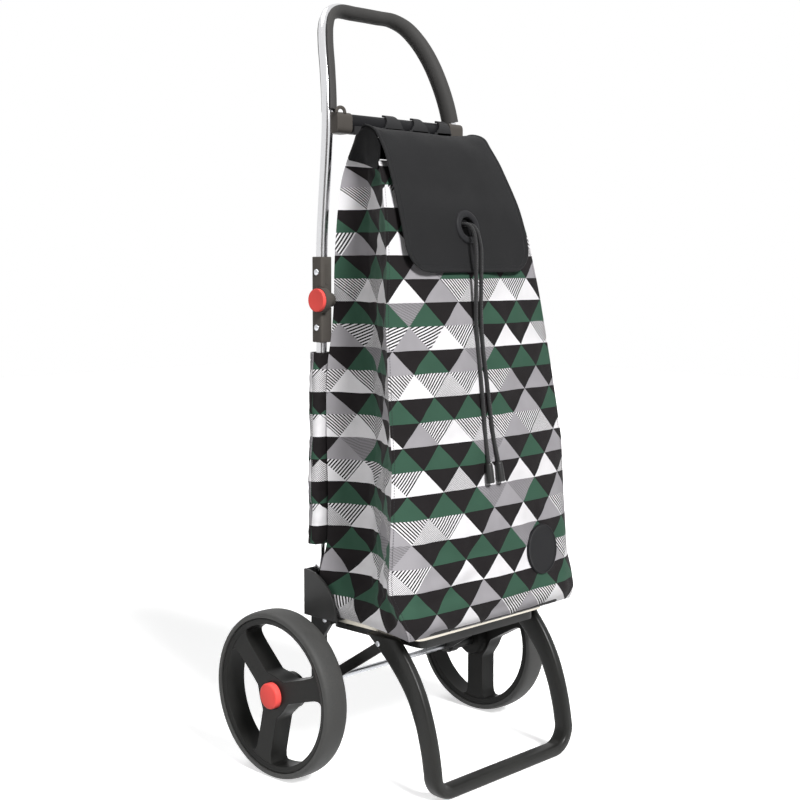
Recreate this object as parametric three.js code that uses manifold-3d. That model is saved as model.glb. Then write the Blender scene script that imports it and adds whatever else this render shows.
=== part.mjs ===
// A two-wheeled shopping trolley: a folding tube frame with a looped handle, a front foot, a
// platform, two spoked wheels and a tall fabric bag with a flap. Sizes are in millimetres.
// X runs across the trolley, the front is -Y and Z is up. The axle lies along X at Y = 0 until the
// last lines move the whole trolley so that the origin is under the middle of its box.
// "left" is -X and "right" is +X, as seen from the front.
import * as THREE from 'three';
import { mergeVertices } from 'three/addons/utils/BufferGeometryUtils.js';
import Module from 'manifold-3d';

const wasm = await Module();
wasm.setup();

// ---------------------------------------------------------------- driving sizes

const GAP = 0.3; // between pieces that touch
const RUNNING = 0.4; // round a shaft, pin or button that moves
const SIDES = [[1, 'right'], [-1, 'left']];

const WHEEL = {
  radius: 110, x: 200, tyreWidth: 36, tyreHeight: 9, shoulder: 4, crown: 10,
  rimWidth: 32, rimDepth: 8, channel: 2, flange: 1.8,
  spokes: 3, spokeWidth: 28, spokeDepth: 28, hubRadius: 24, hubInboard: 28,
  turn: { left: 163, right: 270 }, // first spoke's turn about +X from +Y, degrees
};
const AXLE = { radius: 4, bushWall: 1.6, bushShort: 4, spacerRadius: 9 };
const CAP = { radius: 17, recess: 5, height: 11, travel: 2, endGap: 0.5, edge: 2 };

const POST = { x: 132, y: -1, size: 15, top: 204, bossRadius: 11, spigotRadius: 5.2, spigot: 24 };
const GUSSET = { reach: 21.5, web: 5.5, flange: 9, drop: 39 };
const RAIL = { bottom: 197, height: 10, thick: 3, back: -3, front: -178, corner: 12 };
const LUG = { width: 20, drop: 19 };
const TRAY = { sideClear: 4.9, back: -5, inset: 3, thick: 12.7, tab: 15, tabThick: 3.7, tabsAt: [-38, -88] };
const STRUT = { thick: 4, width: 14, eyeRadius: 8.5 };
const FOOT = {
  thick: 16, depth: 24, edge: 4, front: -221, corner: 28,
  rivetY: -120, rivetZ: 187, waistZ: 118, waistY: -188, kneeZ: 60, backY: -96,
};
// The foot's wide upper end: steps from its waist and its top to the points its edges curve through.
const THIGH = {
  chamfer: 13, rearPull: [30, 36], rearEnd: [8, -18], frontEnd: [-16, -8], frontPull: [1, 42], topDepth: 52,
};
const RIVET = { radius: 2.1, headRadius: 3.5, headHeight: 1.4, clear: 0.25 };
const CUP = { radius: 62, wall: 4, floor: 2.5, rear: 3, bagClear: 4, innerX: 121.5 };

const LOWER_TUBE = { radius: 7, wall: 1.2, topX: 128.7, topY: -5.3, top: 598 };
const SLEEVE = { bottom: 300, top: 553, radius: 11.5 };
const FOLD = { y: -13.5, z: 621, hubRadius: 16.4, innerRadius: 9.2, hubOut: 5, split: 133, pinRadius: 5 };
const BLOCK = { inner: 119, outer: 138, front: -14.7, back: 4.3, bottom: 566, top: 677, corner: 4 };
const BUTTON = { radius: 15, proud: 4.5, travel: 2.5, endGap: 0.3, depth: 8.2, edge: 1.5 };
const JOINT_RIVET = { up: 36, down: 36, radius: 2, headRadius: 4, headHeight: 2 };

const UPPER_TUBE = { radius: 7.5, wall: 1.4, bottom: 645 };
// The handle tube's centre line on the +X side, from its foot to the middle of the top bar.
const HANDLE_LINE = [
  [128.8, -5.3, UPPER_TUBE.bottom], [128.5, -5.5, 690], [126, -7, 750], [123, -8, 800], [120.2, -8, 849],
  [116.6, -4, 880], [109.5, 6, 920], [98.7, 21, 960], [89.4, 30.5, 980], [72, 41.5, 1000], [52, 47, 1008],
  [24, 47.3, 1008.5],
];
const GRIP = { clear: 0.8, wall: 3.9, halfAngle: 105, endRise: 2.5 };
const BAR = { y: -15, z: 849, radius: 9, wall: 1.2, coverRadius: 13, coverHalf: 93.7 };
const COLLAR = { outer: 121, front: -28.2, back: 2, height: 27, corner: 4 };
const CLIP = { centreX: 115, width: 16, rise: 11, thick: 4, wall: 4 };
const HANGER = { half: 93.5, thick: 2.8, bottom: 834.3, valley: 846, wrapDegrees: 90, clear: 0.4 };
const HANGER_TABS = [[-39, -11], [12, 38], [54, 93]];

// Bag sections from the floor up: z, front half-width, front y, front bulge, rear half-width, rear y,
// side fold's x and y.
const BAG_ROWS = [
  [207.5, 147, -208, 3, 138, -13, 142, -100],
  [217, 155, -213, 5, 142, -12.5, 148, -98],
  [258, 175, -194, 9, 142, -12, 112, -86],
  [340, 171.5, -183, 11, 124, -15.5, 90, -64],
  [420, 167, -173, 11, 126, -15.5, 90, -73],
  [500, 162, -162, 11, 127, -15.5, 90, -71],
  [580, 155, -150, 11, 118, -15.5, 90, -63],
  [660, 143, -139, 10, 116, -15.5, 90, -56],
  [740, 131, -121, 8, 108, -15.5, 88, -50],
  [806, 112, -92, 4, 92, -15.5, 82, -45],
];
const BAG = { wall: 2, mouthLift: 6, boardHalf: 132, boardThick: 4, boardBack: -18, boardFront: -200 };
const YOKE = { half: 92, thick: 2, step: 0.5 };
const BADGE = { x: 88, z: 287, radius: 33.5, thick: 3, edge: 1, clear: 0.5 };

// Flap sections from its hinge forward and down: centre y, z, then edge y, z and half-width.
const FLAP_ROWS = [
  [-32.1, 838.5, -40, 834, 96], [-46, 840, -50, 840.5, 100], [-60, 840, -60, 842, 104],
  [-74, 838, -71, 840, 107], [-87, 832.5, -80.5, 835, 107.8], [-98, 822, -90, 824, 108.3],
  [-106, 810, -100.5, 810, 110], [-117, 788, -112, 788, 113.5], [-128.5, 760, -125.5, 760, 117],
  [-137.4, 740, -133.8, 740, 118.6], [-148.6, 691, -147.6, 691, 119.5], [-153.4, 668, -153, 668, 112],
  [-155.5, 657, -155, 657, 96],
];
const FLAP = { thick: 2.4, flatShare: 0.2 };
const EYELET = { z: 715.5, holeRadius: 13, sleeve: 0.9, flange: 8.6, flangeThick: 1.7, clear: 0.4 };
const CORD = { radius: 2.6, sides: 8, steps: 26, endRadius: 5.5, endSides: 12 };
// The drawcord's route on the +X side: out through the eyelet, down, then along the bag's front.
const CORD_ROUTE = [
  [2.9, -136.6, 719], [2.9, -146, 718.5], [3, -152, 716], [3.5, -157.5, 710], [4, -160.5, 701],
  [5, -162.5, 690], [5, -163.4, 672], [5, -163.6, 650], [5, -163.6, 625], [5, -163.8, 600],
  [5, -167.6, 560], [5.5, -173.6, 520], [6.5, -179, 480], [8, -185, 440], [9.8, -191, 413],
];
const CORD_END = [[9.8, -191.1, 412.7], [10.6, -195.6, 387]];

// ---------------------------------------------------------------- finishes

const finish = (color, roughness, metalness) => new THREE.MeshStandardMaterial({ color, roughness, metalness });
const BLACK_PLASTIC = finish(0x2e2e2f, 0.55, 0);
const GREY_PLASTIC = finish(0x56555a, 0.6, 0);
const RED_PLASTIC = finish(0xe8504c, 0.45, 0);
const RUBBER = finish(0x2b2b2b, 0.9, 0);
const BRIGHT_TUBE = finish(0xc9cacc, 0.25, 1);
const STEEL = finish(0xb9babd, 0.35, 1);
const PRINT_FABRIC = finish(0x7d8580, 0.85, 0);
const BLACK_FABRIC = finish(0x2b2b2c, 0.9, 0);
const BOARD = finish(0x3a3a3a, 0.8, 0);

// ---------------------------------------------------------------- shape helpers

const point = ([x, y, z]) => new THREE.Vector3(x, y, z);
const outline = (points) => new THREE.Shape(points.map(([a, b]) => new THREE.Vector2(a, b)));
const radians = THREE.MathUtils.degToRad;

// A closed geometry as a solid that can be joined and cut.
function solidOf(geometry) {
  geometry.deleteAttribute('normal');
  geometry.deleteAttribute('uv');
  const merged = mergeVertices(geometry, 1e-4);
  const corners = merged.index.array;
  const triangles = [];
  for (let i = 0; i < corners.length; i += 3) {
    const [a, b, c] = corners.slice(i, i + 3);
    if (a !== b && b !== c && c !== a) triangles.push(a, b, c);
  }
  return new wasm.Manifold(new wasm.Mesh({
    numProp: 3,
    vertProperties: merged.attributes.position.array,
    triVerts: new Uint32Array(triangles),
  }));
}

function geometryOf(solid) {
  const mesh = solid.getMesh();
  const geometry = new THREE.BufferGeometry();
  geometry.setAttribute('position', new THREE.BufferAttribute(new Float32Array(mesh.vertProperties), 3));
  geometry.setIndex([...mesh.triVerts]);
  geometry.computeVertexNormals();
  return geometry;
}

// The same solid on the other side of the trolley's middle plane.
function mirrored(solid) {
  const mesh = solid.getMesh();
  const places = Float32Array.from(mesh.vertProperties, (value, i) => (i % 3 === 0 ? -value : value));
  const triangles = Uint32Array.from(mesh.triVerts);
  for (let i = 0; i < triangles.length; i += 3) {
    [triangles[i + 1], triangles[i + 2]] = [triangles[i + 2], triangles[i + 1]];
  }
  return new wasm.Manifold(new wasm.Mesh({ numProp: 3, vertProperties: places, triVerts: triangles }));
}

const onSide = (side, solid) => (side > 0 ? solid : mirrored(solid));

function box([x0, x1], [y0, y1], [z0, z1]) {
  const geometry = new THREE.BoxGeometry(x1 - x0, y1 - y0, z1 - z0);
  return solidOf(geometry.translate((x0 + x1) / 2, (y0 + y1) / 2, (z0 + z1) / 2));
}

// An outline in Y and Z carried along X from x0 to x1.
function plateX(shape, x0, x1, curveSegments = 8) {
  const geometry = new THREE.ExtrudeGeometry(shape, { depth: x1 - x0, bevelEnabled: false, curveSegments });
  const turn = new THREE.Matrix4().makeBasis(point([0, 1, 0]), point([0, 0, 1]), point([1, 0, 0]));
  return solidOf(geometry.applyMatrix4(turn).translate(x0, 0, 0));
}

// An outline in X and Y carried up from z0 to z1.
function plateZ(shape, z0, z1, curveSegments = 6) {
  const geometry = new THREE.ExtrudeGeometry(shape, { depth: z1 - z0, bevelEnabled: false, curveSegments });
  return solidOf(geometry.translate(0, 0, z0));
}

// An outline in X and Z carried along Y from y0 to y1.
function plateY(shape, y0, y1, curveSegments = 6) {
  const geometry = new THREE.ExtrudeGeometry(shape, { depth: y1 - y0, bevelEnabled: false, curveSegments });
  return solidOf(geometry.rotateX(Math.PI / 2).translate(0, y1, 0));
}

// A profile of [radius, height] pairs turned about an axis that runs through `from` towards `to`.
function turned(profile, from, to, sides = 24) {
  const closed = profile[0][0] > 0 ? [...profile, profile[0]] : profile;
  const points = closed.map(([r, h]) => new THREE.Vector2(r, h));
  if (THREE.ShapeUtils.area(points) < 0) points.reverse();
  const geometry = new THREE.LatheGeometry(points, sides);
  const axis = point(to).sub(point(from)).normalize();
  const turn = new THREE.Quaternion().setFromUnitVectors(new THREE.Vector3(0, 1, 0), axis);
  return solidOf(geometry.applyQuaternion(turn).translate(...from));
}

const lengthOf = (from, to) => point(from).distanceTo(point(to));

// A round bar from one point to another.
function rod(from, to, radius, sides = 14) {
  const length = lengthOf(from, to);
  return turned([[0, 0], [radius, 0], [radius, length], [0, length]], from, to, sides);
}

// A round pipe from one point to another.
function pipe(from, to, outer, inner, sides = 14) {
  const length = lengthOf(from, to);
  return turned([[inner, 0], [outer, 0], [outer, length], [inner, length]], from, to, sides);
}

// A rivet along X with a domed head at each end of its shank.
function rivet(y, z, inner, outer, { radius, headRadius, headHeight }) {
  const length = outer - inner;
  const dome = (end, way) => [
    [headRadius, end], [headRadius * 0.7, end + way * headHeight * 0.8], [0, end + way * headHeight],
  ];
  const profile = [
    ...dome(0, -1).reverse(), [radius, 0], [radius, length], ...dome(length, 1),
  ];
  return turned(profile, [inner, y, z], [outer, y, z], 8);
}

const ROUNDNESS = 0.5523; // how far a quarter turn's handles reach along its tangents, of its radius

// A closed section carried along a curve.
function sweep(shape, extrudePath, steps, curveSegments = 6) {
  return solidOf(new THREE.ExtrudeGeometry(shape, { steps, extrudePath, curveSegments, bevelEnabled: false }));
}

function roundShape(radius, sides) {
  const points = Array.from({ length: sides }, (_, i) => {
    const angle = (2 * Math.PI * i) / sides;
    return [radius * Math.cos(angle), radius * Math.sin(angle)];
  });
  return outline(points);
}

function roundedRect([a0, a1], [b0, b1], radius) {
  const shape = new THREE.Shape();
  shape.moveTo(a0 + radius, b0);
  shape.lineTo(a1 - radius, b0).quadraticCurveTo(a1, b0, a1, b0 + radius);
  shape.lineTo(a1, b1 - radius).quadraticCurveTo(a1, b1, a1 - radius, b1);
  shape.lineTo(a0 + radius, b1).quadraticCurveTo(a0, b1, a0, b1 - radius);
  shape.lineTo(a0, b0 + radius).quadraticCurveTo(a0, b0, a0 + radius, b0);
  return shape;
}

// Triangles over a ring of points, from its own middle point.
function fanOver(ring, start, places, corners) {
  const hub = places.length / 3;
  for (const axis of [0, 1, 2]) places.push(ring.reduce((sum, place) => sum + place[axis], 0) / ring.length);
  ring.forEach((_, i) => corners.push(start + i, start + ((i + 1) % ring.length), hub));
}

// Triangles over a thin ring whose second half runs back along its first half.
function ladderOver(ring, start, places, corners) {
  for (let i = 0; i + 1 < ring.length / 2; i += 1) {
    const [near, next, farNext, far] = [i, i + 1, ring.length - 2 - i, ring.length - 1 - i].map((n) => start + n);
    corners.push(near, next, farNext, near, farNext, far);
  }
}

// A body through rings of equally many points, that run counter-clockwise as seen from the last ring.
function loft(rings, closeOver) {
  const count = rings[0].length;
  const places = rings.flat(2);
  const sides = [];
  for (let ring = 0; ring + 1 < rings.length; ring += 1) {
    for (let i = 0; i < count; i += 1) {
      const [a, b] = [ring * count + i, ring * count + ((i + 1) % count)];
      sides.push(a, b, b + count, a, b + count, a + count);
    }
  }
  const first = [];
  const last = [];
  closeOver(rings[0], 0, places, first);
  closeOver(rings.at(-1), (rings.length - 1) * count, places, last);
  const geometry = new THREE.BufferGeometry();
  geometry.setAttribute('position', new THREE.BufferAttribute(new Float32Array(places), 3));
  geometry.setIndex([...sides, ...first.reverse(), ...last]);
  return solidOf(geometry);
}

function add(group, name, solid, material) {
  const mesh = new THREE.Mesh(geometryOf(solid), material);
  mesh.name = name;
  group.add(mesh);
}

// ---------------------------------------------------------------- wheels and axle

const rimRadius = WHEEL.radius - WHEEL.tyreHeight;
const ringRadius = rimRadius - WHEEL.rimDepth;
const seatRadius = rimRadius - WHEEL.channel;
const hubOut = WHEEL.spokeDepth / 2;
const recessFloor = hubOut - CAP.recess;
const boreRadius = AXLE.radius + RUNNING + AXLE.bushWall + GAP;
const ROUND = 32;

// A wheel's own frame has its axle along X, with +X outward.
function tyre() {
  const half = WHEEL.tyreWidth / 2;
  const bead = WHEEL.rimWidth / 2 - WHEEL.flange - GAP;
  const inside = rimRadius + GAP;
  const { radius, shoulder, crown } = WHEEL;
  const rightHalf = [
    [seatRadius + GAP, bead], [inside, bead], [inside, half],
    [radius - shoulder, half], [radius, crown],
  ];
  const leftHalf = rightHalf.map(([r, x]) => [r, -x]).reverse();
  return turned([...rightHalf, ...leftHalf], [0, 0, 0], [1, 0, 0], ROUND);
}

function rim(turnDegrees) {
  const half = WHEEL.rimWidth / 2;
  const seat = half - WHEEL.flange;
  const profile = [
    [ringRadius, -half], [rimRadius, -half], [rimRadius, -seat], [seatRadius, -seat],
    [seatRadius, seat], [rimRadius, seat], [rimRadius, half], [ringRadius, half],
  ];
  let wheel = turned(profile, [0, 0, 0], [1, 0, 0], ROUND);
  wheel = wheel.add(rod([-WHEEL.hubInboard, 0, 0], [hubOut, 0, 0], WHEEL.hubRadius, 20));
  for (let i = 0; i < WHEEL.spokes; i += 1) {
    const reach = [AXLE.radius, ringRadius + WHEEL.rimDepth / 3];
    const depth = [-WHEEL.spokeDepth / 2, WHEEL.spokeDepth / 2];
    const geometry = new THREE.BoxGeometry(depth[1] - depth[0], reach[1] - reach[0], WHEEL.spokeWidth);
    geometry.translate(0, (reach[0] + reach[1]) / 2, 0);
    geometry.rotateX(radians(turnDegrees + (360 * i) / WHEEL.spokes));
    wheel = wheel.add(solidOf(geometry));
  }
  wheel = wheel.subtract(rod([-WHEEL.hubInboard - 1, 0, 0], [hubOut + 1, 0, 0], boreRadius));
  return wheel.subtract(rod([recessFloor, 0, 0], [hubOut + 1, 0, 0], CAP.radius + 2 * RUNNING, 18));
}

function bush() {
  const end = recessFloor - AXLE.bushShort;
  return pipe([-WHEEL.hubInboard, 0, 0], [end, 0, 0], boreRadius - GAP, AXLE.radius + RUNNING);
}

function wheelCap() {
  const inner = recessFloor + CAP.travel + CAP.endGap;
  const { radius, height, edge } = CAP;
  const profile = [[0, 0], [radius, 0], [radius, height - edge], [radius - edge, height - edge / 4], [0, height]];
  return turned(profile, [inner, 0, 0], [inner + 1, 0, 0], 18);
}

function buildWheel(side, hand) {
  const wheel = new THREE.Group();
  wheel.position.set(side * WHEEL.x, 0, WHEEL.radius);
  add(wheel, `tyre_${hand}`, tyre(), RUBBER);
  add(wheel, `rim_${hand}`, onSide(side, rim(WHEEL.turn[hand])), BLACK_PLASTIC);
  add(wheel, `wheel_bush_${hand}`, onSide(side, bush()), GREY_PLASTIC);
  add(wheel, `wheel_release_${hand}`, onSide(side, wheelCap()), RED_PLASTIC);
  return wheel;
}

function buildAxle() {
  const axle = new THREE.Group();
  axle.position.z = WHEEL.radius;
  const half = WHEEL.x + recessFloor - 1;
  add(axle, 'axle', rod([-half, 0, 0], [half, 0, 0], AXLE.radius), STEEL);
  const inner = POST.x + POST.size / 2 + GAP;
  const outer = WHEEL.x - WHEEL.hubInboard - GAP;
  for (const [side, hand] of SIDES) {
    const spacer = pipe([inner, 0, 0], [outer, 0, 0], AXLE.spacerRadius, AXLE.radius + RUNNING);
    add(axle, `axle_spacer_${hand}`, onSide(side, spacer), BLACK_PLASTIC);
  }
  return axle;
}

// ---------------------------------------------------------------- chassis: posts, platform, foot

const postInner = POST.x - POST.size / 2;
const postOuter = POST.x + POST.size / 2;
const postFront = POST.y - POST.size / 2;
const railOuter = postInner - GAP;
const railInner = railOuter - RAIL.thick;
const strutOuter = railInner - GAP;
const strutInner = strutOuter - STRUT.thick;
const footInner = railOuter + GAP;
const footOuter = footInner + FOOT.thick;
const trayHalf = strutInner - TRAY.sideClear;
const cupOuter = Math.max(...BAG_ROWS.map((row) => row[4])) + CUP.bagClear + CUP.wall;
const axleHole = AXLE.radius + RUNNING;
const rivetHole = RIVET.radius + RIVET.clear;
const gussetFront = postFront - GUSSET.reach;
const gussetRivet = [postFront - GUSSET.reach * 0.55, POST.top - GUSSET.flange / 2];

const crossHole = (y, z, inner, outer, radius) => rod([inner - 1, y, z], [outer + 1, y, z], radius, 10);

function post() {
  const [x0, x1] = [postInner, postOuter];
  const flangeBottom = POST.top - GUSSET.flange;
  const web = outline([
    [postFront + 1, POST.top], [gussetFront, POST.top], [gussetFront, flangeBottom],
    [postFront + 1, POST.top - GUSSET.drop],
  ]);
  return box([x0, x1], [postFront, POST.y + POST.size / 2], [WHEEL.radius, POST.top])
    .add(rod([x0, 0, WHEEL.radius], [x1, 0, WHEEL.radius], POST.bossRadius))
    .add(box([x0, x1], [gussetFront, postFront + 1], [flangeBottom, POST.top]))
    .add(plateX(web, x1 - GUSSET.web, x1))
    .add(rod([POST.x, POST.y, POST.top - 1], [POST.x, POST.y, POST.top + POST.spigot], POST.spigotRadius))
    .subtract(crossHole(0, WHEEL.radius, x0, x1, axleHole))
    .subtract(crossHole(...gussetRivet, x0, x1, rivetHole));
}

function platformFrame() {
  const strip = new THREE.Shape();
  const { back, front, corner, thick } = RAIL;
  const inner = corner - thick;
  strip.moveTo(-railOuter, back);
  strip.lineTo(-railOuter, front + corner).quadraticCurveTo(-railOuter, front, corner - railOuter, front);
  strip.lineTo(railOuter - corner, front).quadraticCurveTo(railOuter, front, railOuter, front + corner);
  strip.lineTo(railOuter, back).lineTo(railInner, back).lineTo(railInner, front + thick + inner);
  strip.quadraticCurveTo(railInner, front + thick, railInner - inner, front + thick);
  strip.lineTo(inner - railInner, front + thick);
  strip.quadraticCurveTo(-railInner, front + thick, -railInner, front + thick + inner);
  strip.lineTo(-railInner, back);
  let frame = plateZ(strip, RAIL.bottom, RAIL.bottom + RAIL.height);
  for (const [side] of SIDES) {
    const lugY = [FOOT.rivetY - LUG.width / 2, FOOT.rivetY + LUG.width / 2];
    const lug = box([railInner, railOuter], lugY, [RAIL.bottom - LUG.drop, RAIL.bottom + 1]);
    frame = frame.add(onSide(side, lug))
      .subtract(onSide(side, crossHole(FOOT.rivetY, FOOT.rivetZ, railInner, railOuter, rivetHole)))
      .subtract(onSide(side, crossHole(...gussetRivet, railInner, railOuter, rivetHole)));
  }
  return frame;
}

function platformTray() {
  const top = RAIL.bottom - GAP;
  const front = RAIL.front + RAIL.thick + TRAY.inset;
  let tray = plateZ(roundedRect([-trayHalf, trayHalf], [front, TRAY.back], RAIL.corner),
    top - TRAY.thick, top);
  for (const [side] of SIDES) {
    for (const y of TRAY.tabsAt) {
      const across = [trayHalf - 1, railOuter];
      const tab = box(across, [y - TRAY.tab / 2, y + TRAY.tab / 2], [top - TRAY.tabThick, top]);
      tray = tray.add(onSide(side, tab));
    }
  }
  return tray;
}

// A flat bar from the axle up to the rivet that also holds the foot.
function strut() {
  const from = [0, WHEEL.radius];
  const to = [FOOT.rivetY, FOOT.rivetZ];
  const length = Math.hypot(to[0] - from[0], to[1] - from[1]);
  const [ny, nz] = [-(to[1] - from[1]) / length, (to[0] - from[0]) / length].map((n) => n * STRUT.width / 2);
  const bar = outline([
    [from[0] - ny, from[1] - nz], [to[0] - ny, to[1] - nz], [to[0] + ny, to[1] + nz], [from[0] + ny, from[1] + nz],
  ]);
  return plateX(bar, strutInner, strutOuter)
    .add(rod([strutInner, ...from], [strutOuter, ...from], STRUT.eyeRadius))
    .add(rod([strutInner, ...to], [strutOuter, ...to], STRUT.width / 2))
    .subtract(crossHole(...from, strutInner, strutOuter, axleHole))
    .subtract(crossHole(...to, strutInner, strutOuter, rivetHole));
}

// The foot is one moulding: two legs that narrow downward and turn into a bar on the floor.
function foot() {
  const x = footInner + FOOT.thick / 2;
  const barY = FOOT.front + FOOT.depth / 2;
  const barZ = FOOT.thick / 2;
  const bendX = x - FOOT.corner;
  const bendZ = barZ + FOOT.corner;
  const [a, b, c] = [FOOT.thick / 2, FOOT.depth / 2, FOOT.edge];
  const corners = [
    [a, b - c], [a - c, b], [c - a, b], [-a, b - c], [-a, c - b], [c - a, -b], [a - c, -b], [a, c - b],
  ];
  const section = outline(corners);
  const turnedSection = outline(corners.map(([across, along]) => [along, across]));
  const shin = new THREE.QuadraticBezierCurve3(...[
    [x, FOOT.waistY, FOOT.waistZ], [x, barY, FOOT.kneeZ], [x, barY, bendZ],
  ].map(point));
  const bend = new THREE.CubicBezierCurve3(...[
    [bendX, barY, barZ], [bendX + FOOT.corner * ROUNDNESS, barY, barZ],
    [x, barY, bendZ - FOOT.corner * ROUNDNESS], [x, barY, bendZ],
  ].map(point));
  const leg = sweep(section, shin, 5).add(sweep(turnedSection, bend, 6));
  const bar = new THREE.LineCurve3(point([-bendX, barY, barZ]), point([bendX, barY, barZ]));
  let body = sweep(section, bar, 1).add(leg).add(mirrored(leg));

  const top = RAIL.bottom - GAP;
  const thigh = new THREE.Shape();
  thigh.moveTo(FOOT.backY, top);
  const fromWaist = ([y, z]) => [FOOT.waistY + y, FOOT.waistZ + z];
  thigh.lineTo(FOOT.backY - THIGH.chamfer, top - THIGH.chamfer);
  thigh.quadraticCurveTo(...fromWaist(THIGH.rearPull), ...fromWaist(THIGH.rearEnd));
  thigh.lineTo(...fromWaist(THIGH.frontEnd));
  thigh.quadraticCurveTo(...fromWaist(THIGH.frontPull), FOOT.backY - THIGH.topDepth, top);
  for (const [side] of SIDES) {
    const hole = crossHole(FOOT.rivetY, FOOT.rivetZ, footInner, footOuter, rivetHole);
    body = body.add(onSide(side, plateX(thigh, footInner, footOuter, 7))).subtract(onSide(side, hole));
  }
  return body;
}

// A quarter-disc shell round the bag's rear bottom corner, threaded on the frame tube.
function cornerCup() {
  const bottom = POST.top + GAP;
  const rearInner = POST.y + LOWER_TUBE.radius + RUNNING;
  const back = rearInner + CUP.rear;
  const cheek = new THREE.Shape();
  cheek.moveTo(back, bottom);
  cheek.lineTo(back, bottom + CUP.radius);
  cheek.absarc(back, bottom, CUP.radius, Math.PI / 2, Math.PI, false);
  cheek.lineTo(back, bottom);
  const tubeHole = LOWER_TUBE.radius + 2 * GAP;
  return plateX(cheek, cupOuter - CUP.wall, cupOuter, 10)
    .add(box([CUP.innerX, cupOuter], [rearInner, back], [bottom, bottom + CUP.radius]))
    .add(box([footInner + GAP, cupOuter], [back - CUP.radius, back], [bottom, bottom + CUP.floor]))
    .subtract(rod([POST.x, POST.y, bottom - 1], [POST.x, POST.y, bottom + CUP.floor + 1], tubeHole));
}

function buildChassis() {
  const chassis = new THREE.Group();
  add(chassis, 'platform_frame', platformFrame(), STEEL);
  add(chassis, 'platform_tray', platformTray(), BLACK_PLASTIC);
  add(chassis, 'foot', foot(), BLACK_PLASTIC);
  for (const [side, hand] of SIDES) {
    add(chassis, `axle_post_${hand}`, onSide(side, post()), BLACK_PLASTIC);
    add(chassis, `platform_strut_${hand}`, onSide(side, strut()), BLACK_PLASTIC);
    add(chassis, `corner_cup_${hand}`, onSide(side, cornerCup()), BLACK_PLASTIC);
    const postRivet = rivet(...gussetRivet, railInner - GAP, postOuter + GAP, RIVET);
    add(chassis, `post_rivet_${hand}`, onSide(side, postRivet), STEEL);
    const footRivet = rivet(FOOT.rivetY, FOOT.rivetZ, strutInner - GAP, footOuter + GAP, RIVET);
    add(chassis, `foot_rivet_${hand}`, onSide(side, footRivet), STEEL);
  }
  return chassis;
}

// ---------------------------------------------------------------- frame tubes and fold joints

const tubeFoot = [POST.x, POST.y, POST.top + GAP];
const tubeHead = [LOWER_TUBE.topX, LOWER_TUBE.topY, LOWER_TUBE.top];

// The point of the lower tube's centre line at height z, also past its ends.
function onLowerTube(z) {
  const share = (z - tubeFoot[2]) / (tubeHead[2] - tubeFoot[2]);
  return [0, 1, 2].map((axis) => THREE.MathUtils.lerp(tubeFoot[axis], tubeHead[axis], share));
}

const hubOuter = BLOCK.outer + FOLD.hubOut;
const buttonInner = hubOuter + BUTTON.proud - BUTTON.depth;
const buttonFloor = buttonInner - BUTTON.travel - BUTTON.endGap;
const lowerRivetZ = FOLD.z - JOINT_RIVET.down;
const upperRivetZ = FOLD.z + JOINT_RIVET.up;
const jointHole = JOINT_RIVET.radius + RIVET.clear;

const hub = (x0, x1, radius) => rod([x0, FOLD.y, FOLD.z], [x1, FOLD.y, FOLD.z], radius, 18);

// Half of the fold joint. The upper half's hub turns inside the lower half's hub, on one pin.
function jointBlock([z0, z1]) {
  const shape = roundedRect([BLOCK.front, BLOCK.back], [z0, z1], BLOCK.corner);
  return plateX(shape, BLOCK.inner, BLOCK.outer, 2);
}

function lowerJoint() {
  const socket = rod(onLowerTube(BLOCK.bottom - 5), onLowerTube(LOWER_TUBE.top + GAP), LOWER_TUBE.radius + GAP);
  return jointBlock([BLOCK.bottom, FOLD.z + BLOCK.corner])
    .subtract(box([BLOCK.inner - 1, BLOCK.outer + 1], [BLOCK.front - 1, BLOCK.back + 1],
      [FOLD.z - GAP / 2, FOLD.z + BLOCK.corner + 1]))
    .subtract(hub(BLOCK.inner - 1, FOLD.split - GAP / 2, FOLD.innerRadius + GAP * 2))
    .add(hub(FOLD.split, hubOuter, FOLD.hubRadius))
    .subtract(hub(buttonFloor, hubOuter + 1, BUTTON.radius + RUNNING))
    .subtract(hub(FOLD.split - 1, hubOuter, FOLD.pinRadius + GAP))
    .subtract(socket)
    .subtract(crossHole(LOWER_TUBE.topY, lowerRivetZ, BLOCK.inner, BLOCK.outer, jointHole));
}

function upperJoint() {
  const [x, y] = HANDLE_LINE[0];
  const socket = rod([x, y, UPPER_TUBE.bottom - GAP], [x, y, BLOCK.top + 1], UPPER_TUBE.radius + 2 * GAP);
  return jointBlock([FOLD.z - BLOCK.corner, BLOCK.top])
    .subtract(box([BLOCK.inner - 1, BLOCK.outer + 1], [BLOCK.front - 1, BLOCK.back + 1],
      [FOLD.z - BLOCK.corner - 1, FOLD.z + GAP / 2]))
    .subtract(hub(FOLD.split - GAP, BLOCK.outer + 1, FOLD.hubRadius + GAP * 2))
    .add(hub(BLOCK.inner, FOLD.split - GAP, FOLD.innerRadius))
    .subtract(hub(BLOCK.inner - 1, FOLD.split, FOLD.pinRadius + GAP))
    .subtract(socket)
    .subtract(crossHole(y, upperRivetZ, BLOCK.inner, BLOCK.outer, jointHole));
}

function foldButton() {
  const { radius, depth, edge } = BUTTON;
  const profile = [[0, 0], [radius, 0], [radius, depth - edge], [radius - edge, depth - edge / 4], [0, depth]];
  return turned(profile, [buttonInner, FOLD.y, FOLD.z], [buttonInner + 1, FOLD.y, FOLD.z], 18);
}

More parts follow.
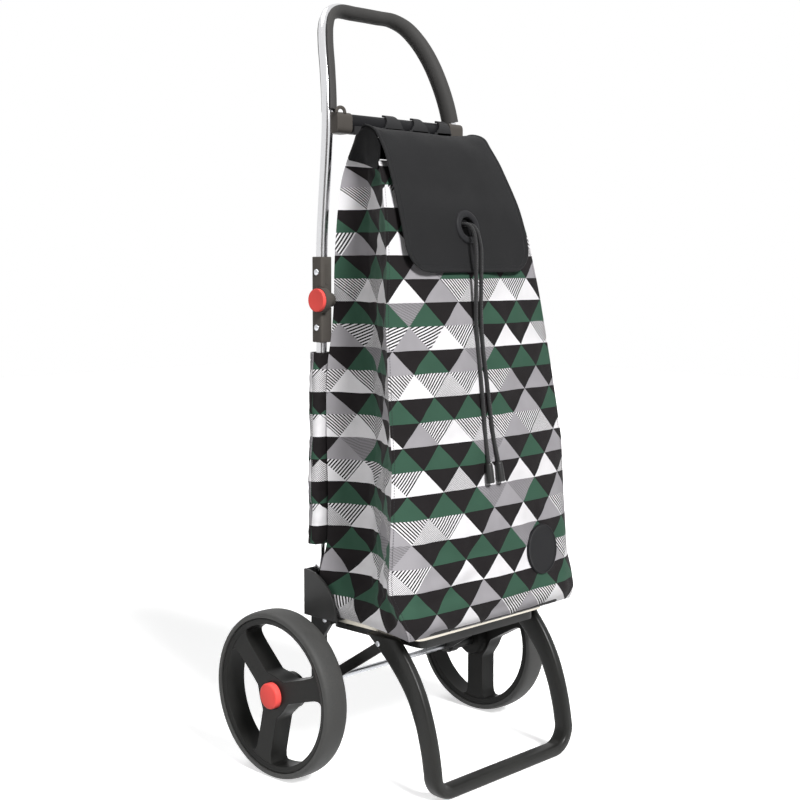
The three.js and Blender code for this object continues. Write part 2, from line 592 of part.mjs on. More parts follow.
function buildLowerFrame() {
  const frame = new THREE.Group();
  const tube = pipe(tubeFoot, tubeHead, LOWER_TUBE.radius, LOWER_TUBE.radius - LOWER_TUBE.wall)
    .subtract(crossHole(LOWER_TUBE.topY, lowerRivetZ, BLOCK.inner, BLOCK.outer, jointHole));
  const shank = [BLOCK.inner - GAP, BLOCK.outer + GAP];
  for (const [side, hand] of SIDES) {
    add(frame, `lower_tube_${hand}`, onSide(side, tube), BRIGHT_TUBE);
    add(frame, `lower_joint_${hand}`, onSide(side, lowerJoint()), BLACK_PLASTIC);
    const pin = rivet(LOWER_TUBE.topY, lowerRivetZ, ...shank, JOINT_RIVET);
    add(frame, `lower_rivet_${hand}`, onSide(side, pin), STEEL);
    add(frame, `fold_button_${hand}`, onSide(side, foldButton()), RED_PLASTIC);
  }
  return frame;
}

// ---------------------------------------------------------------- handle

const handleLine = new THREE.CatmullRomCurve3([
  ...HANDLE_LINE.map(([x, y, z]) => point([-x, y, z])),
  ...[...HANDLE_LINE].reverse().map(point),
], false, 'centripetal');

// The tube and its grip bend at the same stations, so that they stay a clearance apart.
const HANDLE_STEPS = 44;

// A stretch of another curve, given as shares of that curve's length.
class Stretch extends THREE.Curve {
  constructor(whole, from, to) {
    super();
    Object.assign(this, { whole, from, to });
  }

  getPoint(share) {
    return this.whole.getPointAt(THREE.MathUtils.lerp(this.from, this.to, share));
  }
}

function upperTube() {
  const section = roundShape(UPPER_TUBE.radius, 10);
  section.holes.push(roundShape(UPPER_TUBE.radius - UPPER_TUBE.wall, 5));
  const [, y] = HANDLE_LINE[0];
  const hole = crossHole(y, upperRivetZ, BLOCK.inner, BLOCK.outer, jointHole);
  return sweep(section, handleLine, HANDLE_STEPS).subtract(hole).subtract(mirrored(hole));
}

const collarTop = BAR.z + COLLAR.height / 2;
const collarZ = [collarTop - COLLAR.height, collarTop];

// A half-open shell on the inner side of the handle's loop.
function grip() {
  const heights = Array.from({ length: HANDLE_STEPS }, (_, i) => handleLine.getPointAt(i / HANDLE_STEPS).z);
  const skipped = heights.findIndex((z) => z > collarTop + GRIP.endRise);
  const steps = HANDLE_STEPS - 2 * skipped;
  const line = new Stretch(handleLine, skipped / HANDLE_STEPS, 1 - skipped / HANDLE_STEPS);
  const frames = line.computeFrenetFrames(steps);
  const inward = new THREE.Vector3(1, 0, 0);
  const middle = Math.atan2(inward.dot(frames.binormals[0]), inward.dot(frames.normals[0]));
  const inner = UPPER_TUBE.radius + GRIP.clear;
  const shape = new THREE.Shape();
  const reach = radians(GRIP.halfAngle);
  shape.absarc(0, 0, inner + GRIP.wall, middle - reach, middle + reach, false);
  shape.absarc(0, 0, inner, middle + reach, middle - reach, true);
  return sweep(shape, line, steps, 2);
}

// The point of the handle's line nearest to height z on the +X side.
function handleAt(z) {
  const places = handleLine.getPoints(600).filter((place) => place.x > BLOCK.inner / 2);
  return places.reduce((best, place) => (Math.abs(place.z - z) < Math.abs(best.z - z) ? place : best)).toArray();
}

const collarInner = BAR.coverHalf + GAP;
const barHalf = handleAt(BAR.z)[0] - UPPER_TUBE.radius - RUNNING * 2 - 1;

function collar() {
  const tubeHole = rod(handleAt(collarZ[0] - 3), handleAt(collarZ[1] + 3), UPPER_TUBE.radius + RUNNING * 2, 16);
  return plateX(roundedRect([COLLAR.front, COLLAR.back], collarZ, COLLAR.corner), collarInner, COLLAR.outer, 3)
    .subtract(tubeHole)
    .subtract(rod([collarInner - 1, BAR.y, BAR.z], [barHalf + GAP, BAR.y, BAR.z], BAR.radius + GAP));
}

// A small eye that stands on top of the left collar.
function clip() {
  const bottom = collarZ[1];
  const x = [CLIP.centreX - CLIP.width / 2, CLIP.centreX + CLIP.width / 2];
  const eye = roundedRect(x, [bottom - CLIP.wall, bottom + CLIP.rise], CLIP.wall);
  const hole = [[x[0] + CLIP.wall, bottom + 1], [x[1] - CLIP.wall, bottom + 1],
    [x[1] - CLIP.wall, bottom + CLIP.rise - CLIP.wall], [x[0] + CLIP.wall, bottom + CLIP.rise - CLIP.wall]];
  eye.holes.push(outline(hole));
  return plateY(eye, COLLAR.front, COLLAR.front + CLIP.thick, 3);
}

function buildHandle() {
  const handle = new THREE.Group();
  add(handle, 'handle_tube', upperTube(), BRIGHT_TUBE);
  add(handle, 'handle_grip', grip(), GREY_PLASTIC);
  const ends = [[-barHalf, BAR.y, BAR.z], [barHalf, BAR.y, BAR.z]];
  add(handle, 'crossbar_tube', pipe(...ends, BAR.radius, BAR.radius - BAR.wall), BRIGHT_TUBE);
  const covered = [[-BAR.coverHalf, BAR.y, BAR.z], [BAR.coverHalf, BAR.y, BAR.z]];
  add(handle, 'crossbar_cover', pipe(...covered, BAR.coverRadius, BAR.radius + GAP, 18), BLACK_PLASTIC);
  for (const [side, hand] of SIDES) {
    const body = side > 0 ? collar() : mirrored(collar().add(clip()));
    add(handle, `collar_${hand}`, body, GREY_PLASTIC);
    add(handle, `upper_joint_${hand}`, onSide(side, upperJoint()), BLACK_PLASTIC);
    const pin = rod([BLOCK.inner, FOLD.y, FOLD.z], [buttonFloor - GAP, FOLD.y, FOLD.z], FOLD.pinRadius);
    add(handle, `pivot_pin_${hand}`, onSide(side, pin), STEEL);
    const shank = [BLOCK.inner - GAP, BLOCK.outer + GAP];
    const through = rivet(HANDLE_LINE[0][1], upperRivetZ, ...shank, JOINT_RIVET);
    add(handle, `upper_rivet_${hand}`, onSide(side, through), STEEL);
  }
  return handle;
}

// ---------------------------------------------------------------- bag and what hangs on it

// Both halves of a ring whose -X half mirrors its +X half, which runs from the back to the front.
function wholeRing(half) {
  const otherHalf = half.slice(1, -1).reverse().map(([x, y]) => [-x, y]);
  return [...half, ...otherHalf].reverse();
}

function bagSection([, frontX, frontY, bulge, rearX, rearY, foldX, foldY]) {
  const between = (a, b) => (a + b) / 2;
  const front = [0.66, 0.33, 0].map((share) => [frontX * share, frontY - bulge * (1 - share * share)]);
  return wholeRing([
    [0, rearY], [rearX / 2, rearY], [rearX, rearY],
    [between(rearX, foldX), between(rearY, foldY)], [foldX, foldY],
    [between(frontX, foldX), between(frontY, foldY)], [frontX, frontY], ...front,
  ]);
}

// The same closed outline, moved inward by a wall thickness.
function inset(ring, distance) {
  const count = ring.length;
  const edgeNormal = ([ax, ay], [bx, by]) => {
    const length = Math.hypot(bx - ax, by - ay);
    return [(ay - by) / length, (bx - ax) / length];
  };
  const turn = Math.sign(THREE.ShapeUtils.area(ring.map(([x, y]) => new THREE.Vector2(x, y))));
  return ring.map((here, i) => {
    const before = edgeNormal(ring[(i + count - 1) % count], here);
    const after = edgeNormal(here, ring[(i + 1) % count]);
    const sum = [before[0] + after[0], before[1] + after[1]];
    const scale = (turn * distance * 2) / (sum[0] ** 2 + sum[1] ** 2);
    return [here[0] + sum[0] * scale, here[1] + sum[1] * scale];
  });
}

const MOUTH = BAG_ROWS.at(-1);

// The mouth's edge rises a little from its back to its front.
const mouthRise = (y) => (BAG.mouthLift * y) / MOUTH[2];

function atLevel(ring, row, z) {
  return ring.map(([x, y]) => [x, y, row === MOUTH ? z + mouthRise(y) : z]);
}

function bagBody() {
  const sections = BAG_ROWS.map(bagSection);
  const outside = sections.map((ring, i) => atLevel(ring, BAG_ROWS[i], BAG_ROWS[i][0]));
  const insideZ = BAG_ROWS.map(([z], i) => (i === 0 ? z + BAG.wall : z));
  const inside = sections.map((ring, i) => atLevel(inset(ring, BAG.wall), BAG_ROWS[i], insideZ[i]));
  return loft([...outside, ...inside.reverse()], fanOver);
}

// The y of the bag's front face at a height, at a distance x from the middle.
function bagFront(x, z) {
  const above = BAG_ROWS.findIndex((row) => row[0] >= z);
  const [low, high] = [BAG_ROWS[above - 1], BAG_ROWS[above]];
  const share = (z - low[0]) / (high[0] - low[0]);
  const [frontX, frontY, bulge] = [1, 2, 3].map((key) => THREE.MathUtils.lerp(low[key], high[key], share));
  return frontY - bulge * (1 - (x / frontX) ** 2);
}

function badge() {
  const { x, z, radius, thick, edge, clear } = BADGE;
  const slopeX = (bagFront(x + radius, z) - bagFront(x - radius, z)) / (2 * radius);
  const slopeZ = (bagFront(x, z + radius) - bagFront(x, z - radius)) / (2 * radius);
  const outward = point([slopeX, -1, slopeZ]).normalize();
  const back = point([x, bagFront(x, z), z]).addScaledVector(outward, clear);
  const face = back.clone().addScaledVector(outward, thick);
  const profile = [[0, 0], [radius, 0], [radius, thick - edge], [radius - edge, thick], [0, thick]];
  return turned(profile, back.toArray(), face.toArray(), 20);
}

// The panel that joins the bag's back to the comb, passing in front of the crossbar.
function yoke() {
  const rear = MOUTH[5] + YOKE.step;
  const bottom = MOUTH[0] + mouthRise(rear - YOKE.thick) + GAP;
  const front = BAR.y - BAR.coverRadius - HANGER.clear;
  const top = HANGER.bottom - GAP;
  const side = outline([
    [rear, bottom], [front, top], [front - YOKE.thick, top], [rear - YOKE.thick, bottom],
  ]);
  return plateX(side, -YOKE.half, YOKE.half);
}

// A comb whose hooks wrap over the crossbar's cover.
function hanger() {
  const inner = BAR.coverRadius + HANGER.clear;
  const outer = inner + HANGER.thick;
  const front = BAR.y - outer;
  let comb = box([-HANGER.half, HANGER.half], [front, BAR.y - inner], [HANGER.bottom, HANGER.valley]);
  const end = Math.PI - radians(HANGER.wrapDegrees);
  const hook = new THREE.Shape();
  hook.moveTo(front, HANGER.bottom);
  hook.lineTo(BAR.y - inner, HANGER.bottom).lineTo(BAR.y - inner, BAR.z);
  hook.absarc(BAR.y, BAR.z, inner, Math.PI, end, true);
  hook.absarc(BAR.y, BAR.z, outer, end, Math.PI, false);
  for (const [x0, x1] of HANGER_TABS) comb = comb.add(plateX(hook, x0, x1, 5));
  return comb;
}

function tubeSleeve() {
  return pipe(onLowerTube(SLEEVE.bottom), onLowerTube(SLEEVE.top), SLEEVE.radius, LOWER_TUBE.radius + GAP);
}

function baseBoard() {
  const bottom = BAG_ROWS[0][0] + BAG.wall + GAP;
  const shape = roundedRect([-BAG.boardHalf, BAG.boardHalf], [BAG.boardFront, BAG.boardBack], RAIL.corner);
  return plateZ(shape, bottom, bottom + BAG.boardThick, 3);
}

function buildBag() {
  const bag = new THREE.Group();
  add(bag, 'bag_body', bagBody(), PRINT_FABRIC);
  add(bag, 'base_board', baseBoard(), BOARD);
  add(bag, 'back_yoke', yoke(), BLACK_FABRIC);
  add(bag, 'hanger_comb', hanger(), BLACK_PLASTIC);
  add(bag, 'badge', badge(), BLACK_PLASTIC);
  for (const [side, hand] of SIDES) add(bag, `tube_sleeve_${hand}`, onSide(side, tubeSleeve()), PRINT_FABRIC);
  return bag;
}

// ---------------------------------------------------------------- flap, eyelet and drawcord

const flapStraight = [FLAP_ROWS[9], FLAP_ROWS[10]];
const eyeletShare = (flapStraight[0][1] - EYELET.z) / (flapStraight[0][1] - flapStraight[1][1]);
const eyeletY = THREE.MathUtils.lerp(flapStraight[0][0], flapStraight[1][0], eyeletShare);
const flapDown = new THREE.Vector2(
  flapStraight[1][0] - flapStraight[0][0], flapStraight[1][1] - flapStraight[0][1],
).normalize();
const eyeletCentre = [0, eyeletY, EYELET.z];
const eyeletAxis = [0, eyeletY + flapDown.y, EYELET.z - flapDown.x];

// A sheet of even thickness: across each row its edges fall behind its middle.
function flapSheet() {
  const shares = [-1, -0.75, -0.45, -FLAP.flatShare, FLAP.flatShare, 0.45, 0.75, 1];
  const fallOf = (share) => (Math.max(0, Math.abs(share) - FLAP.flatShare) / (1 - FLAP.flatShare)) ** 2;
  const half = FLAP.thick / 2;
  const rings = FLAP_ROWS.map(([cy, cz, ey, ez, halfWidth], row) => {
    const before = FLAP_ROWS[Math.max(row - 1, 0)];
    const after = FLAP_ROWS[Math.min(row + 1, FLAP_ROWS.length - 1)];
    const along = new THREE.Vector2(after[0] - before[0], after[1] - before[1]).normalize();
    const layer = (way) => shares.map((share) => {
      const fall = fallOf(share);
      const y = THREE.MathUtils.lerp(cy, ey, fall) - way * half * -along.y;
      const z = THREE.MathUtils.lerp(cz, ez, fall) + way * half * -along.x;
      return [share * halfWidth, y, z];
    });
    return [...layer(-1), ...layer(1).reverse()];
  });
  const holeRadius = EYELET.holeRadius + EYELET.sleeve + EYELET.clear;
  const reach = (way) => point(eyeletCentre).addScaledVector(point([0, flapDown.y, -flapDown.x]), way * 6).toArray();
  return loft(rings, ladderOver).subtract(rod(reach(-1), reach(1), holeRadius, 16));
}

function eyelet() {
  const bore = EYELET.holeRadius;
  const rim = bore + EYELET.sleeve + EYELET.flange;
  const inner = FLAP.thick / 2 + EYELET.clear;
  const outer = inner + EYELET.flangeThick;
  const above = [[bore + EYELET.sleeve, inner], [rim, inner], [rim - 1, outer - 0.3], [(rim + bore) / 2, outer], [bore, inner]];
  const below = above.map(([r, h]) => [r, -h]).reverse();
  return turned([...above, ...below], eyeletCentre, eyeletAxis, 16);
}

function cord(side) {
  const line = new THREE.CatmullRomCurve3(CORD_ROUTE.map(([x, y, z]) => point([side * x, y, z])));
  return sweep(roundShape(CORD.radius, CORD.sides), line, CORD.steps);
}

function cordEnd() {
  const length = lengthOf(...CORD_END);
  const r = CORD.endRadius;
  const profile = [[0, 0], [r * 0.72, 0], [r * 0.9, 2], [r, length * 0.45], [r, length - 1.5], [r - 1.5, length], [0, length]];
  return turned(profile, ...CORD_END, CORD.endSides);
}

function buildFlap() {
  const flap = new THREE.Group();
  add(flap, 'flap', flapSheet(), BLACK_FABRIC);
  add(flap, 'flap_eyelet', eyelet(), GREY_PLASTIC);
  for (const [side, hand] of SIDES) {
    add(flap, `drawcord_${hand}`, cord(side), BLACK_FABRIC);
    add(flap, `cord_end_${hand}`, onSide(side, cordEnd()), BLACK_PLASTIC);
  }
  return flap;
}

// ---------------------------------------------------------------- the whole trolley

const trolley = new THREE.Group();
trolley.add(buildAxle(), buildChassis(), buildLowerFrame(), buildHandle(), buildBag(), buildFlap());
for (const [side, hand] of SIDES) trolley.add(buildWheel(side, hand));
trolley.position.y = -(FOOT.front + WHEEL.radius) / 2;

export default trolley;
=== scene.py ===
"""Dress a two-wheeled shopping trolley: folding tubes, spoked wheels, a foot and a patterned bag.

Shapes are worked out in millimetres, with X across the trolley, the front at -Y and Z up. Depths
are counted from the axle, and AXLE_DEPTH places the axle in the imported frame. Mesh builders turn
millimetres into metres. "left" is -X and "right" is +X.
"""

import logging
import math
from dataclasses import dataclass, field, replace
from enum import Enum

import bmesh
import bpy
import numpy as np
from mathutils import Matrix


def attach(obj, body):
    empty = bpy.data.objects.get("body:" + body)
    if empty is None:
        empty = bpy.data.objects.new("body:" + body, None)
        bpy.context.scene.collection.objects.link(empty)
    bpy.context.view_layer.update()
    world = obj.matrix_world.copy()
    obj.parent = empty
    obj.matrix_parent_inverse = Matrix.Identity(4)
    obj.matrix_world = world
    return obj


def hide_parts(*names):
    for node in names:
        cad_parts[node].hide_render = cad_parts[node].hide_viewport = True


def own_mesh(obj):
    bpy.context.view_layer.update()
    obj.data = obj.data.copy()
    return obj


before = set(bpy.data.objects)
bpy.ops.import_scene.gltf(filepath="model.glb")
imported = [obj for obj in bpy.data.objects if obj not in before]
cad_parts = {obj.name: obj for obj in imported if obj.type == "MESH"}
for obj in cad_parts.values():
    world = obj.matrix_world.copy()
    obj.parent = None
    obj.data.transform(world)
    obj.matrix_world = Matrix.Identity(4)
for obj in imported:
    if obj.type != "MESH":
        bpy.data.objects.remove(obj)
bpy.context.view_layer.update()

LOG = logging.getLogger("trolley")
AXLE_DEPTH = 55.5
AXLE_HEIGHT = 110.0
# The lower tubes' two ends on the right, the crossbar's middle line and the eyelet's height.
TUBE_FOOT = (132.0, -1.0, 204.3)
TUBE_TOP = (128.7, -5.3, 598.0)
BAR_DEPTH = -15.0
BAR_HEIGHT = 849.0
COVER_RADIUS = 13.0
EYELET_HEIGHT = 715.5
Array = np.ndarray


class Side(Enum):
    """The two sides of the trolley, with the sign of their X."""

    LEFT = -1
    RIGHT = 1

    @property
    def tag(self) -> str:
        """The word that a piece's name ends with."""
        return self.name.lower()


# ---------------------------------------------------------------- shells: points and faces


@dataclass
class Shell:
    """Points in millimetres with faces, a flat cloth place for each point, and other values by name."""

    points: Array
    faces: list[Array]
    cloth: Array | None = None
    marks: dict[str, Array] = field(default_factory=dict)

    def __add__(self, other: "Shell") -> "Shell":
        """Both shells as one.

        Args:
            other: the shell to add.
        Returns:
            One shell.
        """
        shift = len(self.points)
        cloth = None if self.cloth is None or other.cloth is None else np.vstack([self.cloth, other.cloth])
        faces = [*self.faces, *(face + shift for face in other.faces)]
        return Shell(np.vstack([self.points, other.points]), faces, cloth)

    def on(self, side: Side) -> "Shell":
        """The shell as it is on one side: it is worked out for the right one.

        Args:
            side: which side.
        Returns:
            The shell itself on the right, and its mirror image on the left.
        """
        if side is Side.RIGHT:
            return self
        return replace(self, points=self.points * [-1, 1, 1], faces=[face[:, ::-1] for face in self.faces])

    def bare(self) -> "Shell":
        """The shell without its flat cloth places."""
        return replace(self, cloth=None)

    def moved(self, x: float = 0, y: float = 0, z: float = 0) -> "Shell":
        """The shell carried along by a step."""
        return replace(self, points=self.points + [x, y, z])


def joined(parts: list[Shell]) -> Shell:
    """Several shells as one, in order.

    Args:
        parts: the shells, at least one.
    Returns:
        One shell.
    """
    whole = parts[0]
    for part in parts[1:]:
        whole = whole + part
    return whole


def grid_faces(rows: int, columns: int, wrap_rows: bool = False, wrap_columns: bool = False) -> Array:
    """Four-sided faces over a grid whose points are numbered row by row.

    Args:
        rows: how many rows of points.
        columns: how many points in a row.
        wrap_rows: whether the last row joins the first.
        wrap_columns: whether each row closes on itself.
    Returns:
        One row of four corner numbers for each face.
    """
    row = np.arange(rows if wrap_rows else rows - 1)[:, None]
    column = np.arange(columns if wrap_columns else columns - 1)[None, :]
    below, above = row * columns, (row + 1) % rows * columns
    after = (column + 1) % columns
    return np.stack([below + column, below + after, above + after, above + column], axis=-1).reshape(-1, 4)


def frame_of(axis: Array) -> tuple[Array, Array, Array]:
    """Three unit directions at right angles, the last one along the axis.

    Args:
        axis: a direction of any length.
    Returns:
        The two cross directions and the axis's own.
    """
    along = np.asarray(axis, float) / np.linalg.norm(axis)
    helper = np.array([0.0, 0, 1]) if abs(along[2]) < 0.9 else np.array([0.0, 1, 0])
    first = np.cross(helper, along)
    first /= np.linalg.norm(first)
    return first, np.cross(along, first), along


def lathe(profile: list, origin: list, axis: list, sides: int = 64, ring: bool = False) -> Shell:
    """A profile turned about an axis.

    A point is origin + along * axis + radius * (cos(turn) * first + sin(turn) * second).

    Args:
        profile: pairs of radius and place along the axis.
        origin: where the axis starts.
        axis: the axis's direction.
        sides: how many steps make a full turn.
        ring: whether the profile closes on itself, round a hole.
    Returns:
        The turned shell, with its flat places as arc and length along the profile in metres.
    """
    radius, along = np.asarray(profile, float).T
    first, second, direction = frame_of(np.asarray(axis, float))
    turn = np.linspace(0, 2 * np.pi, sides, endpoint=False)
    spread = np.cos(turn)[:, None] * first + np.sin(turn)[:, None] * second
    points = np.asarray(origin, float) + along[:, None, None] * direction + radius[:, None, None] * spread
    length = np.concatenate([[0], np.cumsum(np.hypot(np.diff(radius), np.diff(along)))])
    flat = np.stack(np.broadcast_arrays(turn[None, :] * radius.max(), length[:, None]), axis=-1)
    faces = grid_faces(len(radius), sides, wrap_rows=ring, wrap_columns=True)
    return Shell(points.reshape(-1, 3), [faces], flat.reshape(-1, 2) / 1000)


def rounded(corners: list, radius: float, steps: int = 5) -> Array:
    """A closed outline whose corners are cut by curves.

    Each corner becomes the parabola that leaves one side and meets the next at the radius.

    Args:
        corners: the outline's corners, in order.
        radius: how far before and after a corner the curve starts and ends.
        steps: points on each curve.
    Returns:
        The outline's points.
    """
    here = np.asarray(corners, float)
    before, after = np.roll(here, 1, axis=0) - here, np.roll(here, -1, axis=0) - here
    reach = [np.minimum(radius, np.linalg.norm(way, axis=1) * 0.49)[:, None] for way in (before, after)]
    start = here + before / np.linalg.norm(before, axis=1)[:, None] * reach[0]
    end = here + after / np.linalg.norm(after, axis=1)[:, None] * reach[1]
    t = np.linspace(0, 1, steps)[None, :, None]
    curve = (1 - t) ** 2 * start[:, None] + 2 * t * (1 - t) * here[:, None] + t**2 * end[:, None]
    return curve.reshape(-1, 2)


class Plane(Enum):
    """The two axes that an outline lies in, and the axis that it is carried along."""

    YZ_ALONG_X = (1, 2, 0)
    XZ_ALONG_Y = (0, 2, 1)
    XY_ALONG_Z = (0, 1, 2)


def prism(outline: Array, low: float, high: float, plane: Plane) -> Shell:
    """An outline carried along an axis, with flat ends.

    Args:
        outline: the outline's points.
        low: where it starts along the axis.
        high: where it ends.
        plane: which axes the outline lies in.
    Returns:
        The closed shell.
    """
    flat = np.asarray(outline, float)
    count = len(flat)
    points = np.zeros((2, count, 3))
    points[..., plane.value[0]], points[..., plane.value[1]] = flat[:, 0], flat[:, 1]
    points[..., plane.value[2]] = np.array([low, high])[:, None]
    ring = np.arange(count)[None, :]
    faces = [grid_faces(2, count, wrap_columns=True), ring[:, ::-1], ring + count]
    return Shell(points.reshape(-1, 3), faces)


def smooth(stations: Array, values: Array, at: Array) -> Array:
    """Values between stations, on the cubic curve whose slope at a station is that of its neighbours.

    Args:
        stations: rising places.
        values: one row of values for each station.
        at: the places to work out.
    Returns:
        One row of values for each place.
    """
    stations, values, at = (np.asarray(each, float) for each in (stations, values, at))
    slopes = np.gradient(values, stations, axis=0)
    i = np.clip(np.searchsorted(stations, at) - 1, 0, len(stations) - 2)
    step = stations[i + 1] - stations[i]
    shape = (-1,) + (1,) * (values.ndim - 1)
    t, width = ((at - stations[i]) / step).reshape(shape), step.reshape(shape)
    return (
        (2 * t**3 - 3 * t**2 + 1) * values[i]
        + (t**3 - 2 * t**2 + t) * width * slopes[i]
        + (3 * t**2 - 2 * t**3) * values[i + 1]
        + (t**3 - t**2) * width * slopes[i + 1]
    )


def along_curve(knots: list, count: int) -> Array:
    """Evenly spaced points on the smooth curve through some knots.

    Args:
        knots: points in space.
        count: how many points to return.
    Returns:
        The points, evenly spaced along the curve's length.
    """
    knots = np.asarray(knots, float)
    reach = np.concatenate([[0], np.cumsum(np.linalg.norm(np.diff(knots, axis=0), axis=1))])
    dense = smooth(reach, knots, np.linspace(0, reach[-1], count * 8))
    length = np.concatenate([[0], np.cumsum(np.linalg.norm(np.diff(dense, axis=0), axis=1))])
    even = np.linspace(0, length[-1], count)
    return np.stack([np.interp(even, length, dense[:, axis]) for axis in range(3)], axis=-1)


def unit(vectors: Array) -> Array:
    """Vectors scaled to length one."""
    return vectors / np.maximum(np.linalg.norm(vectors, axis=-1, keepdims=True), 1e-12)


def sweep(path: Array, section: Array, up: list, size: Array | None = None, ends: bool = True) -> Shell:
    """A closed section carried along a path.

    At each point of the path, the section's first axis is the path's direction crossed with up, and
    its second axis stands on both. A point is path + first * a + second * b.

    Args:
        path: points in space.
        section: the section's points, counter-clockwise.
        up: a direction that the path never runs along.
        size: how many times larger the section is at each point of the path, on both axes.
        ends: whether the ends are closed.
    Returns:
        The shell, with its flat places as distance round and along, in metres.
    """
    path, section = np.asarray(path, float), np.asarray(section, float)
    direction = unit(np.gradient(path, axis=0))
    first = unit(np.cross(direction, np.asarray(up, float)))
    second = np.cross(first, direction)
    scale = np.ones((len(path), 2)) if size is None else np.asarray(size, float)
    a = section[None, :, 0] * scale[:, 0:1]
    b = section[None, :, 1] * scale[:, 1:2]
    points = path[:, None] + a[..., None] * first[:, None] + b[..., None] * second[:, None]
    count = len(section)
    faces = [grid_faces(len(path), count, wrap_columns=True)]
    if ends:
        ring = np.arange(count)[None, :]
        faces += [ring[:, ::-1], ring + (len(path) - 1) * count]
    girth = np.concatenate([[0], np.cumsum(np.linalg.norm(np.diff(section, axis=0), axis=1))])
    length = np.concatenate([[0], np.cumsum(np.linalg.norm(np.diff(path, axis=0), axis=1))])
    flat = np.stack(np.broadcast_arrays(girth[None, :], length[:, None]), axis=-1).reshape(-1, 2)
    return Shell(points.reshape(-1, 3), faces, flat / 1000)


def block(low: list, high: list, corner: float, edge: float) -> Shell:
    """A box with rounded upright edges and eased ends: level outlines, drawn in near both ends.

    Args:
        low: its lowest corner.
        high: its highest corner.
        corner: how far its upright edges are rounded.
        edge: how far its ends are eased.
    Returns:
        The closed shell.
    """
    turn = np.linspace(0, np.pi / 2, 5)
    draw = edge * (1 - np.sin(turn))
    rise = edge * (1 - np.cos(turn))
    stack = [*zip(draw, low[2] + rise), *zip(draw[::-1], high[2] - rise[::-1])]
    rings = []
    for inward, z in stack:
        x0, x1, y0, y1 = low[0] + inward, high[0] - inward, low[1] + inward, high[1] - inward
        flat = rounded([(x0, y0), (x1, y0), (x1, y1), (x0, y1)], max(corner - inward, 0.3))
        rings.append(np.column_stack([flat, np.full(len(flat), z)]))
    count = len(rings[0])
    ring = np.arange(count)[None, :]
    faces = [grid_faces(len(rings), count, wrap_columns=True), ring[:, ::-1], ring + (len(rings) - 1) * count]
    return Shell(np.vstack(rings), faces)


def carved(shell: Shell, cutter: Shell) -> Shell:
    """What is left of a closed shell once another is cut out of it.

    Args:
        shell: what is cut.
        cutter: what is taken away.
    Returns:
        The remaining shell.
    """
    things = []
    for part in (shell, cutter):
        mesh = bpy.data.meshes.new("part")
        mesh.from_pydata(part.points.tolist(), [], [row for face in part.faces for row in face.tolist()])
        work = bmesh.new()
        work.from_mesh(mesh)
        bmesh.ops.remove_doubles(work, verts=work.verts, dist=1e-4)
        bmesh.ops.recalc_face_normals(work, faces=work.faces)
        work.to_mesh(mesh)
        work.free()
        things.append(bpy.data.objects.new("part", mesh))
        bpy.context.scene.collection.objects.link(things[-1])
    cut = things[0].modifiers.new("cut", "BOOLEAN")
    cut.operation, cut.solver, cut.object = "DIFFERENCE", "EXACT", things[1]
    left = bpy.data.meshes.new_from_object(things[0].evaluated_get(bpy.context.evaluated_depsgraph_get()))
    points = np.array([corner.co[:] for corner in left.vertices])
    faces = [np.array([face.vertices[:]]) for face in left.polygons]
    for thing in things:
        bpy.data.meshes.remove(thing.data)
    bpy.data.meshes.remove(left)
    return Shell(points, faces)


def circle(radius: float, sides: int = 32) -> Array:
    """Points round a circle, counter-clockwise."""
    turn = np.linspace(0, 2 * np.pi, sides, endpoint=False)
    return radius * np.stack([np.cos(turn), np.sin(turn)], axis=-1)


def soft_square(half_a: float, half_b: float, power: float, sides: int = 40) -> Array:
    """An outline between an ellipse and a rectangle: cos and sin raised to 2 / power, times the halves.

    Args:
        half_a: half its width.
        half_b: half its height.
        power: 2 for an ellipse, and more for a squarer outline.
        sides: how many points.
    Returns:
        The outline's points.
    """
    turn = np.linspace(0, 2 * np.pi, sides, endpoint=False)
    across, along = np.cos(turn), np.sin(turn)
    bend = 2 / power
    return np.stack([half_a * np.sign(across) * np.abs(across) ** bend,
                     half_b * np.sign(along) * np.abs(along) ** bend], axis=-1)


def rod(start: tuple | list, end: tuple | list, radius: float, edge: float = 0.0, sides: int = 48) -> Shell:
    """A round bar with its end edges eased by a small curve.

    Args:
        start: the middle of one end.
        end: the middle of the other end.
        radius: its radius.
        edge: how far its end edges are eased.
        sides: how many steps make a full turn.
    Returns:
        The closed shell.
    """
    start, end = np.asarray(start, float), np.asarray(end, float)
    length = float(np.linalg.norm(end - start))
    ease = [(radius - edge, 0), (radius - edge * 0.3, edge * 0.3), (radius, edge)] if edge else [(radius, 0)]
    profile = [(0, 0), *ease, *[(r, length - h) for r, h in reversed(ease)], (0, length)]
    return lathe(profile, list(start), list(end - start), sides)


def rivet(y: float, z: float, x0: float, x1: float, shank: float, head: float, rise: float) -> Shell:
    """A rivet along X: each head is half an ellipse turned about the shank.

    Args:
        y: the depth of its middle line.
        z: the height of its middle line.
        x0: where its shank starts.
        x1: where its shank ends.
        shank: the shank's radius.
        head: the heads' radius.
        rise: how far a head stands out.
    Returns:
        The closed shell.
    """
    turn = np.linspace(0, np.pi / 2, 7)
    dome = np.stack([head * np.sin(turn), rise * np.cos(turn)], axis=-1)
    start = [(r, -h) for r, h in dome]
    end = [(r, x1 - x0 + h) for r, h in reversed(dome.tolist())]
    return lathe([*start, (shank, 0), (shank, x1 - x0), *end], [x0, y, z], [1, 0, 0], 24)


